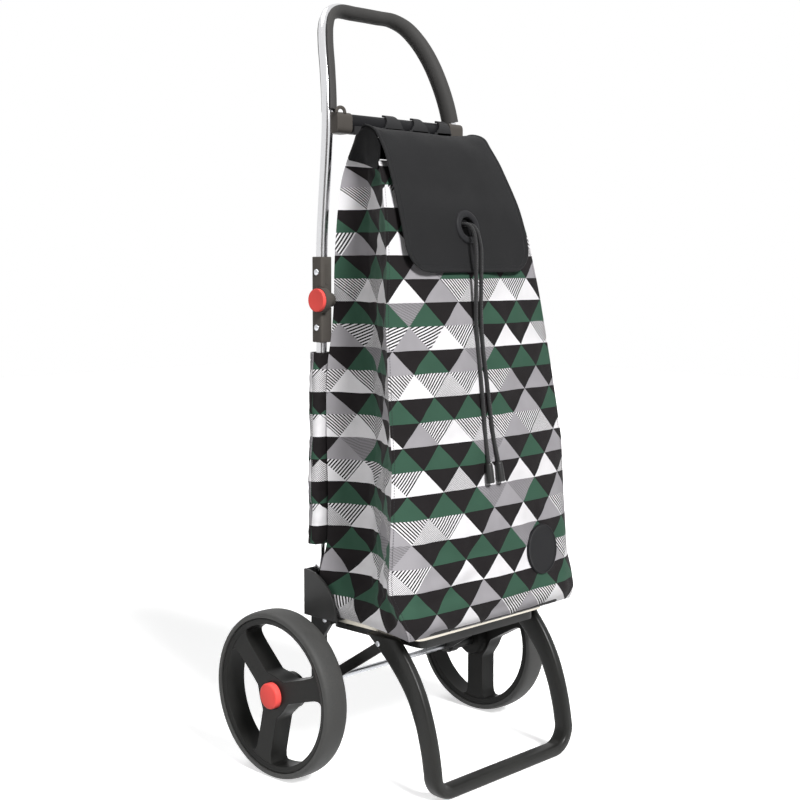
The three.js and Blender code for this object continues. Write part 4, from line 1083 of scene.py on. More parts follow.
@dataclass
class Wheels:
    """Two push-on wheels: a soft tyre on a three-spoked rim, with a red release cap in its hub."""

    finishes: Finishes
    centre_x: float = 200.0
    tyre_radius: float = 110.0
    tyre_half: float = 18.0
    tread_start: float = 104.2
    rim_radius: float = 101.0
    ring_inner: float = 93.0
    window_reach: float = 97.0
    spoke_half: float = 14.0
    hub_radius: float = 24.0
    hub_inboard: float = 28.0
    recess_radius: float = 17.8
    recess: float = 5.0
    cap_radius: float = 17.0
    first_spoke: dict = field(default_factory=lambda: {Side.LEFT: 163.0, Side.RIGHT: 270.0})

    def build(self) -> None:
        """Build both wheels."""
        for side in Side:
            tag, body = side.tag, f"wheel_{side.tag}"
            make_piece(f"tyre_skin_{tag}", self._at(side, self._tyre()), [self.finishes.tyre], body,
                       (f"tyre_{tag}",))
            make_piece(f"rim_moulding_{tag}", self._at(side, self._rim(self.first_spoke[side])),
                       [self.finishes.wheel], body, (f"rim_{tag}",), Ease(1.3, 3, 50))
            make_piece(f"release_cap_{tag}", self._at(side, self._cap()), [self.finishes.red],
                       f"release_{tag}", (f"wheel_release_{tag}",))

    def _at(self, side: Side, shell: Shell) -> Shell:
        """Place a wheel's shell, worked out about its own middle with +X outward."""
        return shell.moved(self.centre_x, 0, AXLE_HEIGHT).on(side)

    def _tyre(self) -> Shell:
        """A ring whose outside is a flattened half oval and whose inside is the rim's seat.

        Returns:
            The closed shell.
        """
        bend = np.linspace(-np.pi / 2, np.pi / 2, 25)
        out = self.tread_start + (self.tyre_radius - self.tread_start) * np.abs(np.cos(bend)) ** 0.62
        across = self.tyre_half * np.sign(np.sin(bend)) * np.abs(np.sin(bend)) ** 0.75
        outside = np.stack([out, across], axis=-1)
        inside = [(101.6, 17.6), (101.3, 14), (99.4, 13.8), (99.4, -13.8), (101.3, -14), (101.6, -17.6)]
        return lathe([*outside.tolist(), *inside], [0, 0, 0], [1, 0, 0], 160, ring=True)

    def _window_rays(self) -> tuple[Array, Array, Array]:
        """One window between two spokes, seen from a point inside it.

        Along each ray the window ends at the nearest of two spoke edges, the ring and the hub, and
        a high power mean of the four distances rounds its corners. The part around it ends at the
        spokes' middle lines, the rim and the recess, with no rounding.

        Returns:
            The window's outline, the outline around it and the rays' directions as angles.
        """
        centre = np.array([61.0, 0.0])
        middle = math.radians(60)
        corners = [(radius * math.cos(a) - centre[0], radius * math.sin(a))
                   for radius in (self.recess_radius, self.window_reach) for a in (-middle, middle)]
        exact = [math.atan2(y, x) % (2 * math.pi) for x, y in corners]
        turn = np.unique(np.concatenate([np.linspace(0, 2 * np.pi, 96, endpoint=False), exact]))
        ray = np.stack([np.cos(turn), np.sin(turn)], axis=-1)

        def to_line(sign: float, inset: float) -> Array:
            """Distance along each ray to the line of a spoke at +-60 degrees, moved in by inset.

            Args:
                sign: which of the two spokes.
                inset: how far the line is moved in.
            Returns:
                One distance for each ray.
            """
            normal = np.array([-math.sin(middle), sign * math.cos(middle)])
            reach = -inset - centre @ normal
            speed = ray @ normal
            return np.where(speed > 1e-9, reach / np.maximum(speed, 1e-9), 1e6)

        def to_circle(radius: float, inside: bool) -> Array:
            """Distance along each ray to a circle about the axle, from inside it or outside it.

            Args:
                radius: the circle's radius.
                inside: whether the rays start inside it.
            Returns:
                One distance for each ray.
            """
            half = ray @ centre
            root = half**2 - centre @ centre + radius**2
            if inside:
                return -half + np.sqrt(root)
            near = -half - np.sqrt(np.maximum(root, 0))
            return np.where((root > 0) & (half < 0), near, 1e6)

        edges = [to_line(1, self.spoke_half), to_line(-1, self.spoke_half),
                 to_circle(self.ring_inner + 0.5, True), to_circle(self.hub_radius + 2, False)]
        window = (np.stack(edges) ** -9.0).sum(axis=0) ** (-1 / 9)
        around = np.minimum.reduce([to_line(1, 0), to_line(-1, 0), to_circle(self.window_reach, True),
                                    to_circle(self.recess_radius, False)])
        return centre + window[:, None] * ray, centre + around[:, None] * ray, turn

    def _rim(self, first_spoke: float) -> Shell:
        """A plate with three windows, the rim ring round it and the hub through it.

        Args:
            first_spoke: the first spoke's angle in degrees.
        Returns:
            The whole moulding.
        """
        window, around, turn = self._window_rays()
        count = len(turn)
        half = self.spoke_half
        layers = np.stack([window, around, around, window])
        depth = np.array([half, half, -half, -half])[:, None]
        radius = np.linalg.norm(around, axis=1)
        near = 0.05
        curved = (np.abs(radius - self.window_reach) < near) | (np.abs(radius - self.recess_radius) < near)
        faces = grid_faces(4, count, wrap_rows=True, wrap_columns=True).reshape(4, count, 4)
        keep = curved & np.roll(curved, -1)
        faces = [faces[0], faces[1][keep], faces[2], faces[3]]
        parts = []
        for third in range(3):
            a = math.radians(first_spoke + 60 + 120 * third)
            turned = np.stack([layers[..., 0] * math.cos(a) - layers[..., 1] * math.sin(a),
                               layers[..., 0] * math.sin(a) + layers[..., 1] * math.cos(a)], axis=-1)
            points = np.concatenate([np.broadcast_to(depth, (4, count))[..., None], turned], axis=-1)
            parts.append(Shell(points.reshape(-1, 3), faces))
        ring = [(self.ring_inner, -16), (self.rim_radius, -16), (self.rim_radius, -14.2), (99, -14.2),
                (99, 14.2), (self.rim_radius, 14.2), (self.rim_radius, 15.4), (98.6, 16.0), (96.5, 15.2),
                (self.ring_inner, 14.6)]
        floor = half - self.recess
        hub = [(6.3, -self.hub_inboard), (self.hub_radius - 3, -self.hub_inboard), (self.hub_radius, -24),
               (self.hub_radius, 13.5), (self.recess_radius, 13.5), (self.recess_radius, floor), (6.3, floor)]
        turned = [lathe(profile, [0, 0, 0], [1, 0, 0], sides, ring=True).bare()
                  for profile, sides in ((ring, 160), (hub, 64))]
        return joined([*parts, *turned])

    def _cap(self) -> Shell:
        """A shallow domed button: its face rises by a parabola to its middle.

        Returns:
            The closed shell.
        """
        inner = self.spoke_half - self.recess + 2.5
        face = 22.4
        side = self.cap_radius
        r = np.linspace(side - 1.6, 0, 10)
        dome = np.stack([r, face - 0.9 * (r / side) ** 2], axis=-1).tolist()
        edge = [(side, face - 2.4), (side - 0.4, face - 1.5)]
        return lathe([(0, inner), (side, inner), *edge, *dome], [0, 0, 0], [1, 0, 0], 64)


# ---------------------------------------------------------------- chassis


@dataclass
class Chassis:
    """The axle, its posts and struts, the platform, the corner cups and the moulded foot."""

    finishes: Finishes
    foot_x: float = 132.5
    foot_half_thick: float = 8.0
    bar_y: float = -209.0
    bar_z: float = 8.0
    bend: float = 28.0
    axle_half: float = 208.0
    cup_outer: float = 150.0
    cup_inner: float = 121.5
    cup_wall: float = 4.0
    cup_radius: float = 62.0
    cup_back: float = 9.4

    def build(self) -> None:
        """Build every piece of the chassis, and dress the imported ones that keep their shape."""
        looks = self.finishes
        make_piece("foot_moulding", self._foot(), [looks.foot], "base", ("foot",), sharp=50)
        axle = rod([-self.axle_half, 0, AXLE_HEIGHT], [self.axle_half, 0, AXLE_HEIGHT], 4, 0.6)
        make_piece("axle_rod", axle, [looks.steel], "base", ("axle",))
        spacer_wall = [(4.5, 0), (8.4, 0), (9, 0.6), (9, 31.4), (8.4, 32), (4.5, 32)]
        rivets = (("post", -20.3, 199.5, 120.6, 139.8), ("foot", -120, 187, 116.0, 140.8))
        for side in Side:
            tag = side.tag
            make_piece(f"corner_cup_shell_{tag}", self._cup().on(side), [looks.black], "base",
                       (f"corner_cup_{tag}",), Ease(0.9, 3))
            spacer = lathe(spacer_wall, [139.8, 0, AXLE_HEIGHT], [1, 0, 0], 40, ring=True)
            make_piece(f"spacer_sleeve_{tag}", spacer.on(side), [looks.black], "base",
                       (f"axle_spacer_{tag}",))
            for name, *places in rivets:
                make_piece(f"{name}_rivet_head_{tag}", rivet(*places, 2.0, 3.6, 1.4).on(side), [looks.steel],
                           "base", (f"{name}_rivet_{tag}",))
            for node, finish in (("axle_post", looks.black), ("platform_strut", looks.black),
                                 ("wheel_bush", looks.grip), ("pivot_pin", looks.steel)):
                self._dress(f"{node}_{tag}", finish)
        for node, finish in (("platform_frame", looks.strip), ("platform_tray", looks.black),
                             ("base_board", looks.board)):
            self._dress(node, finish)

    @staticmethod
    def _dress(node: str, finish: bpy.types.Material) -> None:
        """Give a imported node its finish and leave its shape."""
        bpy.data.objects[node].data.materials.clear()
        bpy.data.objects[node].data.materials.append(finish)

    def _foot(self) -> Shell:
        """Two widening legs joined by a bar on the floor.

        Each leg is a row of soft squares between a front and a rear edge. The front edge is two
        parabolas, met end to end, and the rear one is a smooth curve through its knots. The bar is
        the same section on a path that comes down, bends and runs level.

        Returns:
            Both legs and the bar.
        """
        t = np.linspace(0, 1, 26)[:, None]

        def arc(a: tuple, b: tuple, c: tuple) -> Array:
            """The parabola from a to c that heads for b."""
            a, b, c = (np.array(each, float) for each in (a, b, c))
            return (1 - t) ** 2 * a + 2 * t * (1 - t) * b + t**2 * c

        upper = arc((-148, 196.6), (-187, 160), (-204, 110))
        front = np.vstack([upper, arc((-204, 110), (-216, 76), (-221, 36))[1:]])
        rear_knots = [(-96, 196.6), (-110, 185.5), (-141, 158), (-165, 130), (-181, 98), (-191, 66),
                      (-197, 36)]
        rear = smooth([0, 0.1, 0.26, 0.4, 0.56, 0.76, 1], rear_knots, np.linspace(0, 1, len(front)))
        middle, reach = (front + rear) / 2, (rear - front) / 2
        section = soft_square(1, 1, 3.4, 36)
        across = section[None, :, 0] * self.foot_half_thick
        yz = middle[:, None] + section[None, :, 1, None] * reach[:, None]
        leg = np.concatenate([np.broadcast_to(across, yz.shape[:2])[..., None] + self.foot_x, yz], axis=-1)
        count = len(section)
        last = np.arange(count)[None, :]
        right = Shell(leg.reshape(-1, 3), [grid_faces(len(middle), count, wrap_columns=True), last[:, ::-1]])
        turn = np.linspace(0, np.pi / 2, 14)
        bend_x = self.foot_x - self.bend + self.bend * np.cos(turn)
        bend_z = self.bar_z + self.bend - self.bend * np.sin(turn)
        corner = np.stack([bend_x, np.full(14, self.bar_y), bend_z], axis=-1)
        start = corner[:1] + [0, 0, 0.02]
        path = np.vstack([start, corner, corner[::-1] * [-1, 1, 1], start * [-1, 1, 1]])
        bar = sweep(path, soft_square(8, 12, 3.4, 36), [0, 1, 0], ends=False)
        return right + right.on(Side.LEFT) + bar.bare()

    def _cup(self) -> Shell:
        """A quarter disc cheek, with a back wall behind it and a floor below it.

        Returns:
            The right cup.
        """
        back, low, inner = self.cup_back, TUBE_FOOT[2], self.cup_inner
        turn = np.linspace(np.pi / 2, np.pi, 40)
        arc = np.stack([back + self.cup_radius * np.cos(turn), low + self.cup_radius * np.sin(turn)], axis=-1)
        cheek = np.vstack([[(back, low)], arc])
        outer = self.cup_outer
        shell = prism(cheek, outer - self.cup_wall, outer, Plane.YZ_ALONG_X)
        inside, high = outer - self.cup_wall - 0.2, low + self.cup_radius
        wall = rounded([(inner, low), (inside, low), (inside, high), (inner, high)], 3)
        shell = shell + prism(wall, back - 3, back, Plane.XZ_ALONG_Y)
        rear, front = back - 3.2, back - 60
        floor = rounded([(inner + 4.5, rear), (inside, rear), (inside, front), (inner + 4.5, front)], 3)
        return shell + prism(floor, low, low + 2.5, Plane.XY_ALONG_Z)


# ---------------------------------------------------------------- frame tubes and fold joints


@dataclass
class FrameTubes:
    """The lower tubes and the fold joints, whose upper halves go with the handle."""

    finishes: Finishes
    inner: float = 119.0
    outer: float = 138.0
    front: float = -14.7
    back: float = 4.3
    pivot_y: float = -13.5
    pivot_z: float = 621.0
    outer_hub: float = 16.4
    inner_hub: float = 9.2
    button_radius: float = 15.0

    def build(self) -> None:
        """Build both sides."""
        looks = self.finishes
        for side in Side:
            tag = side.tag
            tube = rod(TUBE_FOOT, TUBE_TOP, 7.0, 0.4, 56)
            make_piece(f"lower_tube_skin_{tag}", tube.on(side), [looks.tube], "base",
                       (f"lower_tube_{tag}",))
            lower = self._block(566, self.pivot_z - 0.15, 118, 132.85, self.inner_hub)
            lower = lower + self._hub(133, 143, self.outer_hub, hollow=True)
            make_piece(f"lower_joint_half_{tag}", lower.on(side), [looks.joint], "base",
                       (f"lower_joint_{tag}",))
            upper = self._block(self.pivot_z + 0.15, 677, 132.7, 139, self.outer_hub)
            upper = upper + self._hub(119, 132.7, self.inner_hub) + self._ribs()
            make_piece(f"upper_joint_half_{tag}", upper.on(side), [looks.joint], "handle",
                       (f"upper_joint_{tag}",))
            for name, z, body in (("lower", 585, "base"), ("upper", 657, "handle")):
                pin = rivet(-5.4, z, self.inner - 0.3, self.outer + 0.3, 2, 4.2, 2.1)
                make_piece(f"{name}_joint_rivet_{tag}", pin.on(side), [looks.steel], body,
                           (f"{name}_rivet_{tag}",))
            make_piece(f"fold_button_cap_{tag}", self._button().on(side), [looks.red], f"button_{tag}",
                       (f"fold_button_{tag}",))

    def _block(self, low: float, high: float, cut_from: float, cut_to: float, radius: float) -> Shell:
        """A rounded block with room cut in it for the other half's hub.

        Args:
            low: the height of its underside.
            high: the height of its top.
            cut_from: where the room starts along X.
            cut_to: where the room ends along X.
            radius: the hub's radius.
        Returns:
            What is left of the block.
        """
        body = block([self.inner, self.front, low], [self.outer, self.back, high], 3.2, 1.2)
        room = rod([cut_from, self.pivot_y, self.pivot_z], [cut_to, self.pivot_y, self.pivot_z],
                   radius + 0.6, 0, 72)
        return carved(body, room)

    def _hub(self, x0: float, x1: float, r: float, hollow: bool = False) -> Shell:
        """The round half of a fold joint, with a bezel round the button where it is hollow.

        Args:
            x0: where it starts.
            x1: where it ends.
            r: its radius.
            hollow: whether it holds the button.
        Returns:
            The closed shell.
        """
        length = x1 - x0
        if hollow:
            bore = self.button_radius + 0.4
            profile = [(5.3, 0), (r - 0.5, 0), (r, 0.5), (r, length - 0.5), (r - 0.4, length),
                       (bore + 0.3, length), (bore, length - 0.5), (bore, 3.6), (5.3, 3.6)]
        else:
            profile = [(5.3, 0), (r - 1.2, 0), (r, 1.2), (r, length - 0.4), (r - 0.4, length), (5.3, length)]
        return lathe(profile, [x0, self.pivot_y, self.pivot_z], [1, 0, 0], 64, ring=True).bare()

    def _ribs(self) -> Shell:
        """A slim frame with cross ribs on the front of the upper half.

        Returns:
            The frame and its ribs.
        """
        middle, y = (self.inner + self.outer) / 2, self.front

        def plate(half: float, low: float, high: float, corner: float) -> Array:
            """A rounded outline about the block's middle."""
            left, right = middle - half, middle + half
            return rounded([(left, low), (right, low), (right, high), (left, high)], corner)

        rim = prism(plate(3.4, 641, 669, 3), y - 0.7, y + 0.5, Plane.XZ_ALONG_Y)
        ribs = [prism(plate(2.2, z, z + 1.6, 0.6), y - 1.2, y - 0.4, Plane.XZ_ALONG_Y)
                for z in 645.0 + 4 * np.arange(6)]
        return joined([rim, *ribs])

    def _button(self) -> Shell:
        """A round push button whose face dips a little towards its middle.

        Returns:
            The closed shell.
        """
        inner, face, r = 139.3, 147.5, self.button_radius
        ring = np.linspace(r - 1.5, 0, 10)
        dish = np.stack([ring, face - 0.25 - 0.5 * (1 - (ring / r) ** 2)], axis=-1).tolist()
        profile = [(0, inner), (r, inner), (r, face - 1.5), (r - 0.45, face - 0.45), *dish]
        return lathe(profile, [0, self.pivot_y, self.pivot_z], [1, 0, 0], 64)


# ---------------------------------------------------------------- handle


@dataclass
class Handle:
    """The looped tube with its grip, and the covered crossbar between its two collars."""

    finishes: Finishes
    tube_radius: float = 7.5
    grip_inner: float = 8.3
    grip_outer: float = 12.2
    grip_reach: tuple = (108.0, 82.0)
    collar_half: float = 13.5
    cover_half: float = 93.7
    tube_half: float = 110.5
    knots: tuple = ((128.8, -5.3, 645), (128.5, -5.5, 690), (126, -7, 750), (123, -8, 800), (120.2, -8, 849),
                    (116.6, -4, 880), (109.5, 6, 920), (98.7, 21, 960), (89.4, 30.5, 980), (72, 41.5, 1000),
                    (52, 47, 1008), (24, 47.3, 1008.5))

    def build(self) -> None:
        """Build every piece that folds with the handle."""
        looks, line = self.finishes, self._line()
        tube = sweep(line, circle(self.tube_radius, 40), [0, 1, 0])
        make_piece("handle_tube_skin", tube, [looks.tube], "handle", ("handle_tube",))
        covered = line[line[:, 2] > BAR_HEIGHT + self.collar_half + 2.5]
        grip = sweep(covered, self._grip_section(), [0, 1, 0])
        make_piece("handle_grip_cover", grip.bare(), [looks.grip], "handle",
                   ("handle_grip",), sharp=45)
        sleeve, bar = ([[x, BAR_DEPTH, BAR_HEIGHT] for x in (-half, half)]
                       for half in (self.cover_half, self.tube_half))
        make_piece("crossbar_cover_sleeve", rod(*sleeve, COVER_RADIUS, 0.8, 64), [looks.cover], "handle",
                   ("crossbar_cover",))
        make_piece("crossbar_tube_skin", rod(*bar, 8.9, 0.3, 48), [looks.tube], "handle",
                   ("crossbar_tube",))
        for side in Side:
            collar = self._collar()
            if side is Side.LEFT:
                collar = collar + self._clip()
            make_piece(f"collar_moulding_{side.tag}", collar.on(side), [looks.joint], "handle",
                       (f"collar_{side.tag}",), Ease(0.8, 3, 45))

    def _line(self) -> Array:
        """The tube's centre line: the smooth curve through the knots and their mirror images."""
        right = np.array(self.knots, float)
        return along_curve(np.vstack([right * [-1, 1, 1], right[::-1]]), 420)

    def _grip_section(self) -> Array:
        """A half-open ring with rounded lips, opening away from the loop's inside.

        Returns:
            The outline's points.
        """
        front, rear = (math.radians(angle) for angle in self.grip_reach)
        turn = np.linspace(-rear, front, 44) + np.pi
        thick = (self.grip_outer - self.grip_inner) / 2
        middle = self.grip_inner + thick
        outer = (middle + thick) * np.stack([np.cos(turn), np.sin(turn)], axis=-1)
        inner = (middle - thick) * np.stack([np.cos(turn), np.sin(turn)], axis=-1)[::-1]
        lip = np.linspace(0, np.pi, 8)[1:-1]

        def rounded_lip(at: float, way: float) -> Array:
            """Half a circle that closes the wall at one end.

            Args:
                at: the lip's angle round the tube.
                way: 1 or -1, the way it turns.
            Returns:
                The lip's points.
            """
            centre = middle * np.array([math.cos(at), math.sin(at)])
            radial = np.array([math.cos(at), math.sin(at)])
            tangent = np.array([-math.sin(at), math.cos(at)]) * way
            out, over = thick * way * np.cos(lip)[:, None], thick * np.sin(lip)[:, None]
            return centre + out * radial + over * tangent

        return np.vstack([outer, rounded_lip(turn[-1], 1), inner, rounded_lip(turn[0], -1)])

    def _collar(self) -> Shell:
        """The rounded block that joins the crossbar to the tube.

        Returns:
            The right collar.
        """
        low, high = BAR_HEIGHT - self.collar_half, BAR_HEIGHT + self.collar_half
        outline = rounded([(-28.2, low), (2.0, low), (2.0, high), (-28.2, high)], 8, 8)
        return prism(outline, 94.2, 121, Plane.YZ_ALONG_X)

    def _clip(self) -> Shell:
        """A small arched eye that stands on the collar: half an oval ring.

        Returns:
            The eye, as it would stand on the right.
        """
        turn = np.linspace(0, np.pi, 20)
        height = 860.5 + 7.6 * np.sin(turn) ** 0.8
        arch = np.stack([114 + 7.4 * np.cos(turn), np.full(20, -26.2), height], axis=-1)
        return sweep(arch, soft_square(2.2, 1.3, 4, 20), [0, 1, 0]).bare()


# ---------------------------------------------------------------- bag


@dataclass(frozen=True)
class Fold:
    """A pull in the cloth: a long dent from one place towards another, soft across its width."""

    start: tuple
    end: tuple
    width: float
    depth: float


@dataclass
class Bag:
    """The tall printed bag, its yoke and badge, the comb that holds it up and the tube sleeves."""

    finishes: Finishes
    around: int = 150
    rows: int = 230
    cloth_thickness: float = 1.6
    # The middle height and radius of the round patch of painted shade behind the eyelet.
    hole_shade_height: float = 716.0
    hole_shade_radius: float = 24.0
    # Height, front half-width, front depth, front bulge, rear half-width, rear depth, fold's x and y.
    sections: tuple = (
        (207.5, 161, -195, 3, 138, -13, 142, -100), (217, 165, -199, 5, 142, -12.5, 146, -98),
        (238, 171, -198, 8, 142, -12, 128, -90), (260, 176, -193.5, 10, 141, -12, 108, -86),
        (300, 175, -188, 12, 130, -14, 94, -74), (340, 171.5, -183, 13, 129, -15.5, 90, -64),
        (380, 169.5, -178, 13, 129, -15.5, 90, -57), (420, 167, -173, 13, 130, -15.5, 90, -71),
        (460, 165, -167, 13, 131, -15.5, 90, -73), (500, 162, -161.5, 13, 131, -15.5, 90, -71),
        (540, 158.5, -156, 13, 128, -15.5, 90, -67), (580, 155, -150, 12, 121, -15.5, 90, -62),
        (620, 150, -145, 12, 117, -15.5, 90, -59), (660, 143.5, -139.5, 11, 116, -15.5, 90, -56),
        (700, 138, -132.5, 10, 113.5, -15.5, 89, -53), (740, 131, -122, 9, 109, -15.5, 88, -50),
        (780, 121, -107, 6, 101.5, -15.5, 85, -47), (806, 111.5, -92, 4, 92, -15.5, 82, -45),
    )
    folds: tuple = (
        Fold((150, 262), (60, 330), 13, -2.6), Fold((158, 240), (80, 246), 9, -2.2),
        Fold((-150, 250), (-40, 272), 10, -2.4), Fold((-120, 322), (-20, 300), 14, -1.8),
        Fold((118, 520), (40, 470), 18, -1.8), Fold((-128, 560), (-50, 520), 16, -1.9),
        Fold((-96, 640), (-8, 610), 16, -1.7), Fold((84, 640), (12, 600), 17, -1.6),
        Fold((20, 400), (90, 372), 15, -1.5), Fold((-30, 450), (-110, 428), 15, -1.6),
        Fold((-60, 226), (70, 232), 8, -1.8), Fold((6, 560), (4, 420), 16, -1.2),
    )

    def build(self) -> None:
        """Build the bag and everything sewn or hung on it."""
        looks = self.finishes
        body = make_piece("bag_cloth", self._body(), [looks.print, looks.lining], "base",
                          ("bag_body",), solid=False, sharp=60)
        # A round patch behind the eyelet gets painted shade.
        self._blacken(body)
        thicken(body, self.cloth_thickness, 1)
        hung = [body, self._yoke(), self._badge(), self._comb()]
        for side in Side:
            self._sleeve(side)
        for piece in hung:
            gather(piece)

    def _blacken(self, body: bpy.types.Object) -> None:
        """Paint the lining's black on a round patch behind the eyelet: painted shade for the cord's hole.

        Args:
            body: the bag's cloth.
        """
        faces = body.data.polygons
        centre = np.empty(len(faces) * 3)
        faces.foreach_get("center", centre)
        centre = centre.reshape(-1, 3) * 1000
        near = np.hypot(centre[:, 0], centre[:, 2] - self.hole_shade_height) < self.hole_shade_radius
        behind = near & (centre[:, 1] < AXLE_DEPTH - 60)
        # Painted shade: these faces take the lining's black in place of the hole.
        faces.foreach_set("material_index", behind.astype(np.int32))

    def _corners(self, z: Array) -> tuple[Array, ...]:
        """The section's sizes at each height, on smooth curves."""
        table = np.array(self.sections)
        return tuple(smooth(table[:, 0], table[:, 1:], z).T)

    def outline(self, z: Array, count: int) -> tuple[Array, Array, Array]:
        """One half of each level section, from the rear's middle to the front's middle.

        The rear is straight. The side goes in to its fold and out again: halfway between two
        straight lines and the parabola that heads for the fold. The front bulges by a parabola,
        and low down its corners fall back by the square of their nearness to the edge.

        Args:
            z: the heights.
            count: points on each of the section's three parts.
        Returns:
            X, Y and the distance in millimetres to the front corner along the section.
        """
        front_half, front_y, bulge, rear_half, rear_y, fold_x, fold_y = (v[:, None] for v in self._corners(z))
        slack = 15 * np.clip((430 - z[:, None]) / 150, 0, 1) * np.clip((z[:, None] - 206) / 60, 0, 1)
        corner_y = front_y + slack
        t = np.linspace(0, 1, count)[None, :]
        rear_x = rear_half * t
        rear_line = np.broadcast_to(rear_y, rear_x.shape)
        s = np.linspace(0, 1, 2 * count)[None, :]
        first = np.clip(s * 2, 0, 1)
        second = np.clip(s * 2 - 1, 0, 1)
        straight_x = rear_half + (fold_x - rear_half) * first + (front_half - fold_x) * second
        straight_y = rear_y + (fold_y - rear_y) * first + (corner_y - fold_y) * second
        curve_x = (1 - s) ** 2 * rear_half + 2 * s * (1 - s) * (fold_x - 12) + s**2 * front_half
        curve_y = (1 - s) ** 2 * rear_y + 2 * s * (1 - s) * fold_y + s**2 * corner_y
        soft = 0.42
        side_x, side_y = straight_x * soft + curve_x * (1 - soft), straight_y * soft + curve_y * (1 - soft)
        u = np.linspace(1, 0, 2 * count)[None, :]
        face_x = front_half * u
        face_y = front_y - bulge * (1 - u**2) + slack * np.clip((u - 0.8) / 0.2, 0, 1) ** 2
        x = np.concatenate([rear_x[:, :-1], side_x, face_x[:, 1:]], axis=1)
        y = np.concatenate([rear_line[:, :-1], side_y, face_y[:, 1:]], axis=1)
        length = self._girth(x, y)
        corner = 3 * count - 2
        return x, y, length - length[:, corner:corner + 1]

    @staticmethod
    def _girth(x: Array, y: Array) -> Array:
        """The distance along each row of points from its first one."""
        steps = np.cumsum(np.hypot(np.diff(x), np.diff(y)), axis=1)
        return np.concatenate([np.zeros((len(x), 1)), steps], axis=1)

    def _pulls(self, across: Array, z: Array) -> Array:
        """The dents of all the folds: each is exp(-(off / width)^2) with a lower swell beside it,
        faded at both ends.

        Args:
            across: the distance to the front's middle at each point.
            z: the height at each point.
        Returns:
            How far the cloth comes out at each point.
        """
        total = np.zeros_like(z)
        for fold in self.folds:
            start, end = np.array(fold.start, float), np.array(fold.end, float)
            way = end - start
            length = np.linalg.norm(way)
            way /= length
            along = ((across - start[0]) * way[0] + (z - start[1]) * way[1]) / length
            off = (across - start[0]) * -way[1] + (z - start[1]) * way[0]
            off = off + 6 * np.sin(along * 3.2)
            fade = np.clip(np.clip(along + 0.15, 0, 1) * np.clip(1.15 - along, 0, 1) * 3, 0, 1)
            total += fold.depth * np.exp(-((off / fold.width) ** 2)) * fade
            beside = (off - 1.7 * fold.width) / fold.width
            total -= fold.depth * 0.45 * np.exp(-(beside ** 2)) * fade
        return total

    def _body(self) -> Shell:
        """The bag's cloth: sections stacked from the bottom to the mouth, moved along their normals.

        The move adds up waves that are still near the corners, a crumpled belt low on the sides,
        the folds' dents on the front and a ridge on the corner seams.

        Returns:
            The open shell, marked with the distance to its corner seams.
        """
        low, high = self.sections[0][0], self.sections[-1][0]
        z = np.linspace(low, high, self.rows)
        x, y, off_corner = self.outline(z, self.around // 6)
        x = np.concatenate([x, -x[:, -2::-1]], axis=1)
        y = np.concatenate([y, y[:, -2::-1]], axis=1)
        corner = np.concatenate([off_corner, off_corner[:, -2::-1]], axis=1)
        length = self._girth(x, y)
        length = length - length.mean(axis=1, keepdims=True)
        share = np.clip((z - low) / (high - low), 0, 1)[:, None]
        height = np.broadcast_to(z[:, None], x.shape)
        lift = -8.0 * np.clip((share - 0.93) / 0.07, 0, 1)
        points = np.stack([x, y, height + lift * np.clip(-y / 60, 0, 1)], axis=-1)
        normal = surface_normals(points)
        outward = np.sign((normal[..., :2] * points[..., :2]).sum(axis=-1, keepdims=True).mean())
        normal = normal * outward
        side = np.clip((-y - 14) / 40, 0, 1)
        quiet = np.clip((z - low) / 12, 0, 1)[:, None] * np.clip((high + 4 - z) / 20, 0, 1)[:, None]
        on_front = (corner >= 0) & (y < -60)
        held = np.clip(np.abs(corner) / 16, 0.15, 1)
        wave = 1.1 * ripple(length, height, 26, 36, 150, 11) + 0.45 * ripple(length, height, 30, 14, 46, 5)
        pull = self._pulls(x, height) * on_front
        crumple = 2.4 * np.exp(-((height - 268) / 34) ** 2) * (~on_front)
        crumple = crumple * ripple(length * 0.8, height * 1.5, 18, 16, 60, 3)
        ridge = 1.1 * np.exp(-((corner / 2.2) ** 2)) * (y < -60)
        wave = wave * np.where(on_front, 1.0, 2.4)
        push = (wave * side * held + crumple * side + pull * held) * quiet + ridge * quiet
        points = points + normal * push[..., None]
        cloth = np.stack([length, height + 0.35 * push], axis=-1)
        rows, columns = x.shape
        faces = [grid_faces(rows, columns)[:, ::-1], np.arange(columns)[None, :]]
        marks = {"edge": np.abs(corner).reshape(-1) / 1000}
        return Shell(points.reshape(-1, 3), faces, cloth.reshape(-1, 2) / 1000, marks)

    def _yoke(self) -> bpy.types.Object:
        """The plain strip above the print: it stands on the bag's rear and turns forward at both sides.

        Its lower edge follows the bag's mouth and its upper edge follows the flap from below.

        Returns:
            The piece.
        """
        low = [(0, -16.6, 807), (60, -16.6, 807), (91, -16.8, 806), (96, -24, 802), (93, -36, 799),
               (92, -47, 796), (99, -62, 793), (106.5, -78, 789), (114, -94.5, 786)]
        high = [(0, -29.4, 833), (60, -29.4, 833), (90, -30, 833), (97, -37, 832.5), (100, -44, 835),
                (102, -52, 839.5), (103.8, -62, 841.5), (105.3, -74, 839), (107.5, -92, 818)]
        edges = []
        for knots in (low, high):
            right = np.array(knots, float)
            edges.append(along_curve(np.vstack([right[:0:-1] * [-1, 1, 1], right]), 140))
        v = np.linspace(0, 1, 14)[:, None, None]
        grid = edges[0] * (1 - v) + edges[1] * v
        level, across = np.broadcast_to(v[..., 0] * 26, grid.shape[:2]), grid[..., 0]
        grid[..., 1] += 0.5 * ripple(across, level, 8, 20, 60, 21)
        flat = np.stack([across, level], axis=-1).reshape(-1, 2) / 1000
        shell = Shell(grid.reshape(-1, 3), [grid_faces(14, 140)], flat)
        piece = make_piece("yoke_cloth", shell, [self.finishes.yoke], "base", ("back_yoke",),
                           solid=False)
        thicken(piece, 1.6)
        piece.modifiers["thickness"].offset = 0
        return piece

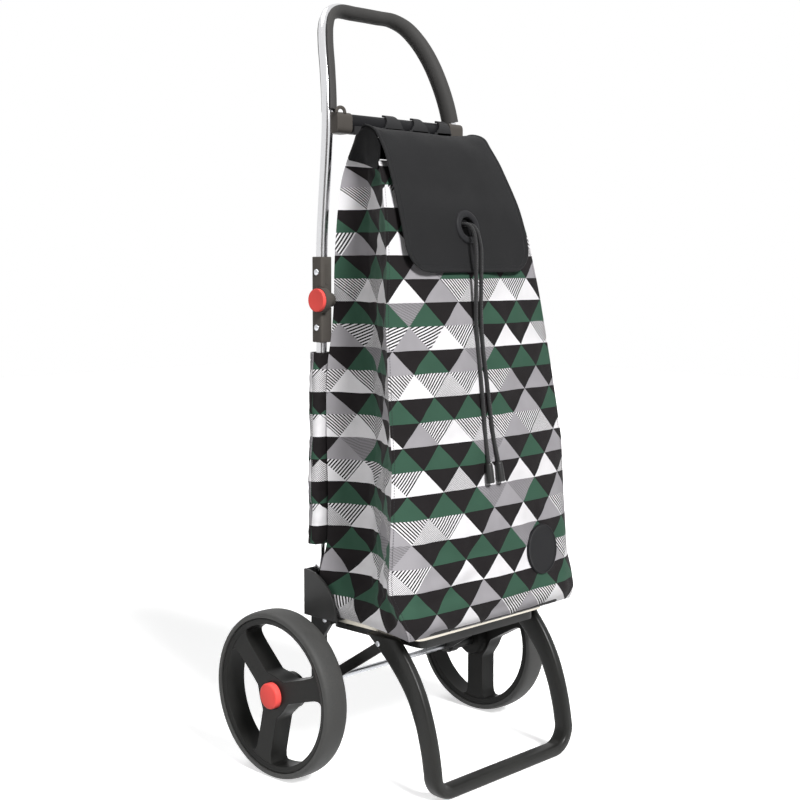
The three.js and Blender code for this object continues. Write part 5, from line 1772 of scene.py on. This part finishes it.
    def _badge(self) -> bpy.types.Object:
        """A plain round patch on the front's lower right, tilted as the cloth is.

        Returns:
            The piece.
        """
        middle, z = 93.0, 287.0
        lower, upper = (self._front_at(middle, z + step) for step in (-25, 25))
        up = unit(np.array([0, upper - lower, 50.0]))
        left, right = (self._front_at(middle + step, z) for step in (-25, 25))
        across = unit(np.array([50.0, right - left, 0]))
        out = np.cross(across, up)
        back = [(0, -3.0), (32.3, -3.0), (33.5, -1.8)]
        rim = [(33.5, 0.2), (32.8, 1.0), (31.8, 1.25), (30.9, 0.9), (30, 0.75)]
        flat = [(r, 0.75) for r in np.linspace(27, 0, 7)]
        centre = [middle, self._front_at(middle, z) - 1.6, z]
        shell = lathe([*back, *rim, *flat], centre, out.tolist(), 96)
        return make_piece("badge_disc", shell, [self.finishes.cover], "base", ("badge",),
                          sharp=30)

    def _front_at(self, x: float, z: float) -> float:
        """The front's depth at a place."""
        half, front_y, bulge, *_ = (float(v[0]) for v in self._corners(np.array([z])))
        return front_y - bulge * (1 - (x / half) ** 2)

    def _comb(self) -> bpy.types.Object:
        """The hanger: a sheet that stands on the yoke and hooks over the covered crossbar.

        Returns:
            The piece.
        """
        half, thick, foot = 93.5, 2.8, 834.3
        bar_y, bar_z, grip = BAR_DEPTH, BAR_HEIGHT, COVER_RADIUS + 0.4
        turn = np.radians(np.linspace(180, 90, 24))
        arc = np.stack([np.cos(turn), np.sin(turn)], axis=-1)
        outer = np.vstack([[(bar_y - grip - thick, foot)], (bar_y, bar_z) + (grip + thick) * arc])
        inner = np.vstack([[(bar_y - grip, foot)], (bar_y, bar_z) + grip * arc])
        rise = np.clip((outer[:, 1] - 845) / 20, 0, 1) ** 0.7
        # Each tab's two sides at its foot, and then at its tip.
        tabs = ((60.5, 93, 76, 91), (10, 49, 26, 39), (-40, -1, -28, -10))
        parts = []
        for low0, low1, high0, high1 in tabs:
            x0, x1 = low0 + (high0 - low0) * rise, low1 + (high1 - low1) * rise
            ring = np.stack([np.column_stack([x0, outer]), np.column_stack([x1, outer]),
                             np.column_stack([x1, inner]), np.column_stack([x0, inner])], axis=1)
            last = 4 * len(outer) - 4
            faces = [grid_faces(len(outer), 4, wrap_columns=True), np.array([[3, 2, 1, 0]]),
                     np.arange(last, last + 4)[None, :]]
            parts.append(Shell(ring.reshape(-1, 3), faces))
        crest = [(half, foot), (half, 848)]
        for number, (low0, low1, *_) in enumerate(tabs[:2]):
            gap0, gap1 = tabs[number + 1][1], low0
            bow = np.linspace(0, np.pi, 14)
            middle, reach = (gap0 + gap1) / 2, (gap1 - gap0) / 2
            crest += [(middle + reach * math.cos(a), 847.5 - 5 * math.sin(a)) for a in bow]
        strip = np.vstack([[(-half, foot)], crest, [(-40, 847), (-45, 845.5), (-half, 845.5)]])
        parts.append(prism(strip, bar_y - grip - thick, bar_y - grip, Plane.XZ_ALONG_Y))
        return make_piece("hanger_comb_moulding", joined(parts), [self.finishes.comb], "base",
                          ("hanger_comb",), Ease(0.5, 2, 50))

    def _sleeve(self, side: Side) -> None:
        """A flat tunnel of the bag's cloth round the frame tube, wrinkled across.

        Args:
            side: which tube it goes round.
        """
        z = np.linspace(300, 553, 120)
        turn = np.linspace(0, 2 * np.pi, 64, endpoint=False)
        share = (z - TUBE_FOOT[2]) / (TUBE_TOP[2] - TUBE_FOOT[2])
        centre_x, centre_y = (foot + (top - foot) * share for foot, top in zip(TUBE_FOOT[:2], TUBE_TOP[:2]))
        wide = 13.8 + 0.7 * np.sin(z / 19) + 0.5 * np.sin(z / 8.3 + 1)
        deep = 10.4 + 0.5 * np.sin(z / 13 + 2)
        power = 2 / 2.6
        a, b = np.cos(turn), np.sin(turn)
        x = centre_x[:, None] + 1.5 + wide[:, None] * (np.sign(a) * np.abs(a) ** power)[None, :]
        y = centre_y[:, None] + 1 + deep[:, None] * (np.sign(b) * np.abs(b) ** power)[None, :]
        level = np.broadcast_to(z[:, None], x.shape)
        grid = np.stack([x, y, level], axis=-1)
        wrinkle = 0.8 * ripple(turn[None, :] * 9, level, 18, 10, 40, 31)
        grid = grid + surface_normals(grid) * wrinkle[..., None]
        flat = np.stack(np.broadcast_arrays(turn[None, :] * 11.5, level), axis=-1).reshape(-1, 2) / 1000
        shell = Shell(grid.reshape(-1, 3), [grid_faces(120, 64, wrap_columns=True)], flat)
        shell.points[:, 2] = np.clip(shell.points[:, 2], 299, 554)
        cloths = [self.finishes.sleeve, self.finishes.lining]
        piece = make_piece(f"sleeve_cloth_{side.tag}", shell.on(side), cloths, "base",
                           (f"tube_sleeve_{side.tag}",), solid=False)
        thicken(piece, 1.0, 1)


def gather(piece: bpy.types.Object) -> None:
    """Give a piece its own copy of its mesh."""
    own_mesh(piece)


# ---------------------------------------------------------------- flap


@dataclass
class Flap:
    """The bag's hanging lid with its eyelet: one curved sheet with a bound, stitched edge."""

    finishes: Finishes
    # Middle depth and height, edge depth and height, and half-width, from the hinge down.
    sections: tuple = (
        (-32.1, 838.5, -41, 834, 96), (-46, 840.2, -49, 841, 100), (-60, 840.5, -57, 845, 104),
        (-74, 838.5, -70, 843, 107), (-87, 832.5, -81, 837.5, 107.8), (-98, 822, -90, 825.5, 108.3),
        (-106, 810, -100.5, 810, 110), (-117, 788, -112, 788, 113.5), (-128.5, 760, -125.5, 760, 117),
        (-137.4, 740, -134, 739, 118.8), (-144, 714, -142.6, 713, 119.8), (-148.8, 691, -148, 691, 119.6),
        (-153.4, 668, -153, 668, 119), (-155.5, 657, -155, 657, 118),
    )
    corner: float = 36.0
    hole: float = 14.5
    hole_cut: float = 13.9
    rows: int = 120
    columns: int = 110
    thickness: float = 1.5

    def build(self) -> bpy.types.Object:
        """Returns:
            The sheet.
        """
        sheet = make_piece("flap_sheet", self._sheet(), [self.finishes.flap], "lid",
                           ("flap",), solid=False, sharp=60)
        thicken(sheet, self.thickness)
        gather(sheet)
        gather(self._eyelet())
        return sheet

    def _sheet(self) -> Shell:
        """A grid between the hinge and the lower edge, bent over the bag's top.

        Each row runs level from edge to edge, and its depth and height go from the middle's to the
        edge's with the fourth power of the share of the way out, so that it is nearly flat. The
        lower corners are rounded by drawing the rows in along a quarter circle.

        Returns:
            The open shell, marked with the distance to its edge and along it.
        """
        table = np.array(self.sections)
        reach = np.concatenate([[0], np.cumsum(np.hypot(np.diff(table[:, 0]), np.diff(table[:, 1])))])
        at = np.linspace(0, reach[-1], self.rows)
        middle_y, middle_z, edge_y, edge_z, half = (v[:, None] for v in smooth(reach, table, at).T)
        left = (reach[-1] - at)[:, None]
        drawn = self.corner * (1 - np.sqrt(np.clip(1 - (1 - np.clip(left / self.corner, 0, 1)) ** 2, 0, 1)))
        half = half - drawn
        u = np.linspace(-1, 1, self.columns)[None, :]
        share = np.abs(u) ** 4
        x = half * u
        y = middle_y + (edge_y - middle_y) * share
        z = middle_z + (edge_z - middle_z) * share
        grid = np.stack([x, y, z], axis=-1)
        normal = surface_normals(grid)
        facing = normal[..., 1:2] * -1 + normal[..., 2:3]
        normal = normal * np.sign(facing.mean())
        lengthwise = np.broadcast_to(at[:, None], x.shape)
        across = np.broadcast_to(x, lengthwise.shape)
        soft = 0.7 * ripple(across, lengthwise, 16, 40, 130, 41)
        hold = np.clip(lengthwise / 30, 0, 1)
        grid = grid + normal * (soft * hold)[..., None]
        to_side = half - np.abs(x)
        to_low = np.broadcast_to(left, x.shape)
        edge = np.minimum(to_side, to_low)
        along = np.where(to_side < to_low, lengthwise, across)
        bead = 0.9 * np.exp(-(((edge - 2.4) / 1.7) ** 2)) - 0.5 * np.exp(-(((edge - 6.0) / 1.2) ** 2))
        grid = grid + normal * bead[..., None]
        self.width = float(2 * half.max())
        self.flat_area = float(2 * np.trapz(table[:, 4], reach))
        self.length = float(reach[-1])
        hole = np.hypot(across, z - EYELET_HEIGHT) < self.hole
        faces = grid_faces(self.rows, self.columns)
        faces = faces[~hole.reshape(-1)[faces].all(axis=1)]
        faces = faces[:, ::-1]
        flat = np.stack([across, lengthwise], axis=-1).reshape(-1, 2) / 1000
        marks = {"edge": edge.reshape(-1) / 1000, "along": along.reshape(-1) / 1000}
        return Shell(grid.reshape(-1, 3), [faces], flat, marks)

    def _eyelet(self) -> bpy.types.Object:
        """A rolled ring through the flap, front and back joined by its barrel.

        Returns:
            The piece.
        """
        table = np.array(self.sections)
        rows = slice(8, 12)
        y = float(np.interp(EYELET_HEIGHT, table[rows, 1][::-1], table[rows, 0][::-1]))
        slope = unit(np.array([0, *(table[11, :2] - table[9, :2])]))
        out = np.cross(slope, [1.0, 0, 0])
        if out[1] > 0:
            out = -out
        turn = np.linspace(np.pi, 0, 10)
        front = [(17.6 - 4.6 * math.cos(a), 0.4 + 2.6 * math.sin(a)) for a in turn[::-1]]
        ring = [*front, (22.3, -0.2), (22.3, -2.6), (20, -3.6), (15, -3.6), (13.0, -2.8)]
        ring[0] = (13.0, 0.6)
        shell = lathe(ring, [0, y, EYELET_HEIGHT], out.tolist(), 96, ring=True).bare()
        return make_piece("eyelet_ring", shell, [self.finishes.ring], "lid", ("flap_eyelet",),
                          sharp=45)


# ---------------------------------------------------------------- cords


@dataclass
class Drawcord:
    """The two ends of the bag's drawcord: they come out of the eyelet and hang down the front."""

    finishes: Finishes
    diameter: float = 5.2
    # The right cord's points, out through the eyelet and down.
    route: tuple = (
        (2.9, -136.6, 719), (2.9, -146, 718.5), (3, -152, 716), (3.5, -157.5, 710), (4, -160.5, 701),
        (5, -162.5, 690), (5, -163.4, 672), (5, -163.6, 650), (5, -163.6, 625), (5, -163.8, 600),
        (5, -167.6, 560), (5.5, -173.6, 520), (6.5, -179, 480), (8, -185, 440), (9.8, -191, 413),
    )
    end: tuple = ((9.8, -191.1, 412.7), (10.6, -195.6, 387))

    def build(self) -> None:
        for side in Side:
            tip = self._tip(side)
            way = along_curve(np.array(self.route, float) * [side.value, 1, 1], 90)
            strand = sweep(way, circle(self.diameter / 2, 16), [1, 0, 0.01])
            cord = make_piece(f"drawcord_strand_{side.tag}", strand, [self.finishes.braid], "base",
                              (f"drawcord_{side.tag}",))
            gather(tip)
            gather(cord)

    def _tip(self, side: Side) -> bpy.types.Object:
        """A small turned sleeve, knurled by shallow rings, that the cord ends in.

        Args:
            side: which cord it ends.
        Returns:
            The piece.
        """
        start, stop = (np.array(each, float) * [side.value, 1, 1] for each in self.end)
        length = float(np.linalg.norm(stop - start))
        along = np.linspace(2, length - 1.6, 28)
        radius = 4.9 + 0.6 * np.clip((along - 2) / 9, 0, 1) + 0.12 * np.sin(along * 2.4)
        profile = [(0, 0), (3.6, 0), (4.2, 0.5), (4.7, 1.4), *zip(radius, along), (5.2, length - 0.9),
                   (4.6, length - 0.2), (3.9, length), (0, length)]
        shell = lathe(profile, start.tolist(), (stop - start).tolist(), 32)
        return make_piece(f"cord_tip_{side.tag}", shell, [self.finishes.black], "base",
                          (f"cord_end_{side.tag}",))


# ---------------------------------------------------------------- studio


@dataclass
class Studio:
    """The camera, the white sweep under the trolley, the lights and a dark card."""

    place: tuple = (-1.3702, -1.2933, 0.6679)
    tilt: float = 84.436
    roll: float = -0.08
    turn: float = -45.93
    lens: float = 62.88

    def aim(self) -> None:
        """Add the camera."""
        camera = bpy.data.cameras.new("camera")
        camera.lens, camera.sensor_width = self.lens, 36.0
        eye = bpy.data.objects.new("camera", camera)
        eye.location = self.place
        eye.rotation_euler = tuple(math.radians(angle) for angle in (self.tilt, self.roll, self.turn))
        bpy.context.scene.collection.objects.link(eye)
        bpy.context.scene.camera = eye

    def light(self) -> None:
        """Add the world, the lights, the floor and the card."""
        scene = bpy.context.scene
        scene.view_settings.view_transform = "Standard"
        self._world(scene)
        self._sun("key", (-0.164, -0.771, 0.616), 3.7, 14)
        self._sun("top", (-0.05, 0.45, 1.0), 1.0, 30)
        self._lamp("low", (-0.95, -0.3, 0.3), 3.4, 0.5)
        mesh = bpy.data.meshes.new("floor")
        mesh.from_pydata([(-6, -6, 0), (6, -6, 0), (6, 6, 0), (-6, 6, 0)], [], [(0, 1, 2, 3)])
        floor = bpy.data.objects.new("floor", mesh)
        scene.collection.objects.link(floor)
        mesh.materials.append(self._sweep())
        self._card()

    @staticmethod
    def _card() -> bpy.types.Object:
        """A dark card behind the camera, met only by mirrored light: the streak down bright tubes.

        Returns:
            The card.
        """
        mesh = bpy.data.meshes.new("card")
        corners = [(-0.75, 0, -0.6), (0.75, 0, -0.6), (0.75, 0, 2.2), (-0.75, 0, 2.2)]
        mesh.from_pydata(corners, [], [(0, 1, 2, 3)])
        card = bpy.data.objects.new("card", mesh)
        card.location, card.rotation_euler = (-1.75, -1.65, 0.3), (0, 0, math.radians(-46))
        card.visible_camera = card.visible_diffuse = card.visible_shadow = card.visible_transmission = False
        bpy.context.scene.collection.objects.link(card)
        material, g = empty_material("card")
        glow = g.add("ShaderNodeEmission", {"Color": (0.16, 0.15, 0.145, 1), "Strength": 1.0})
        g.add("ShaderNodeOutputMaterial", {"Surface": glow.outputs[0]})
        mesh.materials.append(material)
        return card

    @staticmethod
    def _lamp(name: str, place: tuple, power: float, size: float) -> None:
        """Add a square lamp that shines along +X from a place, met only by scattered light.

        Args:
            name: its name.
            place: where it stands, in metres.
            power: in watts.
            size: its side in metres.
        """
        lamp = bpy.data.lights.new(name, "AREA")
        lamp.energy, lamp.size = power, size
        thing = bpy.data.objects.new(name, lamp)
        thing.location, thing.rotation_euler = place, (0, math.radians(-90), 0)
        thing.visible_camera = thing.visible_glossy = False
        bpy.context.scene.collection.objects.link(thing)

    @staticmethod
    def _sun(name: str, place: tuple, power: float, width: float) -> None:
        """Add a distant light that shines from a direction, as wide as an angle in degrees.

        Args:
            name: its name.
            place: the direction that it shines from.
            power: its strength.
            width: how wide it is, in degrees.
        """
        lamp = bpy.data.lights.new(name, "SUN")
        lamp.angle, lamp.energy = math.radians(width), power
        thing = bpy.data.objects.new(name, lamp)
        thing.location = place
        flat = math.hypot(place[0], place[1])
        thing.rotation_euler = (math.atan2(flat, place[2]), 0, math.atan2(place[1], place[0]) + math.pi / 2)
        bpy.context.scene.collection.objects.link(thing)

    @staticmethod
    def _seen(g: Graph) -> bpy.types.NodeSocket:
        """One for light that is seen, mirrored or looked through, and zero for the rest.

        Args:
            g: the graph to work in.
        Returns:
            The number that tells them apart.
        """
        ray = g.add("ShaderNodeLightPath").outputs
        through = g.math("MAXIMUM", ray["Is Glossy Ray"], ray["Is Transmission Ray"])
        return g.math("MAXIMUM", ray["Is Camera Ray"], through)

    @staticmethod
    def _world(scene: bpy.types.Scene) -> None:
        """White where it is seen, mirrored or looked through, and a softer white as light.

        Args:
            scene: the scene that gets it.
        """
        world = bpy.data.worlds.new("white")
        scene.world = world
        world.use_nodes = True
        world.node_tree.nodes.clear()
        g = Graph(world.node_tree)
        seen = Studio._seen(g)
        strength = g.add("ShaderNodeMix", {0: seen, 2: 0.08, 3: 1.0}, data_type="FLOAT").outputs[0]
        light = g.add("ShaderNodeBackground", {"Color": (1, 1, 1, 1), "Strength": strength})
        g.add("ShaderNodeOutputWorld", {"Surface": light.outputs[0]})

    @staticmethod
    def _sweep() -> bpy.types.Material:
        """The floor: white where it is seen or mirrored, and a quieter grey as light.

        Returns:
            The material.
        """
        material, g = empty_material("sweep")
        seen = Studio._seen(g)
        colour = g.mix(seen, (0.12, 0.12, 0.12, 1), (0.97, 0.97, 0.97, 1))
        shader = g.add("ShaderNodeBsdfPrincipled", {"Base Color": colour, "Roughness": 1.0,
                                                    "Specular IOR Level": 0.0,
                                                    "Emission Color": (1, 1, 1, 1),
                                                    "Emission Strength": g.math("MULTIPLY", seen, 0.55)})
        g.add("ShaderNodeOutputMaterial", {"Surface": shader.outputs[0]})
        return material


def main() -> None:
    """Build the trolley in order and light it."""
    logging.basicConfig(level=logging.INFO, format="%(message)s")
    studio = Studio()
    studio.aim()
    finishes = Finishes()
    Drawcord(finishes).build()
    Chassis(finishes).build()
    Wheels(finishes).build()
    FrameTubes(finishes).build()
    Handle(finishes).build()
    Bag(finishes).build()
    flap = Flap(finishes)
    sheet = flap.build()
    studio.light()


if __name__ == "__main__":
    main()
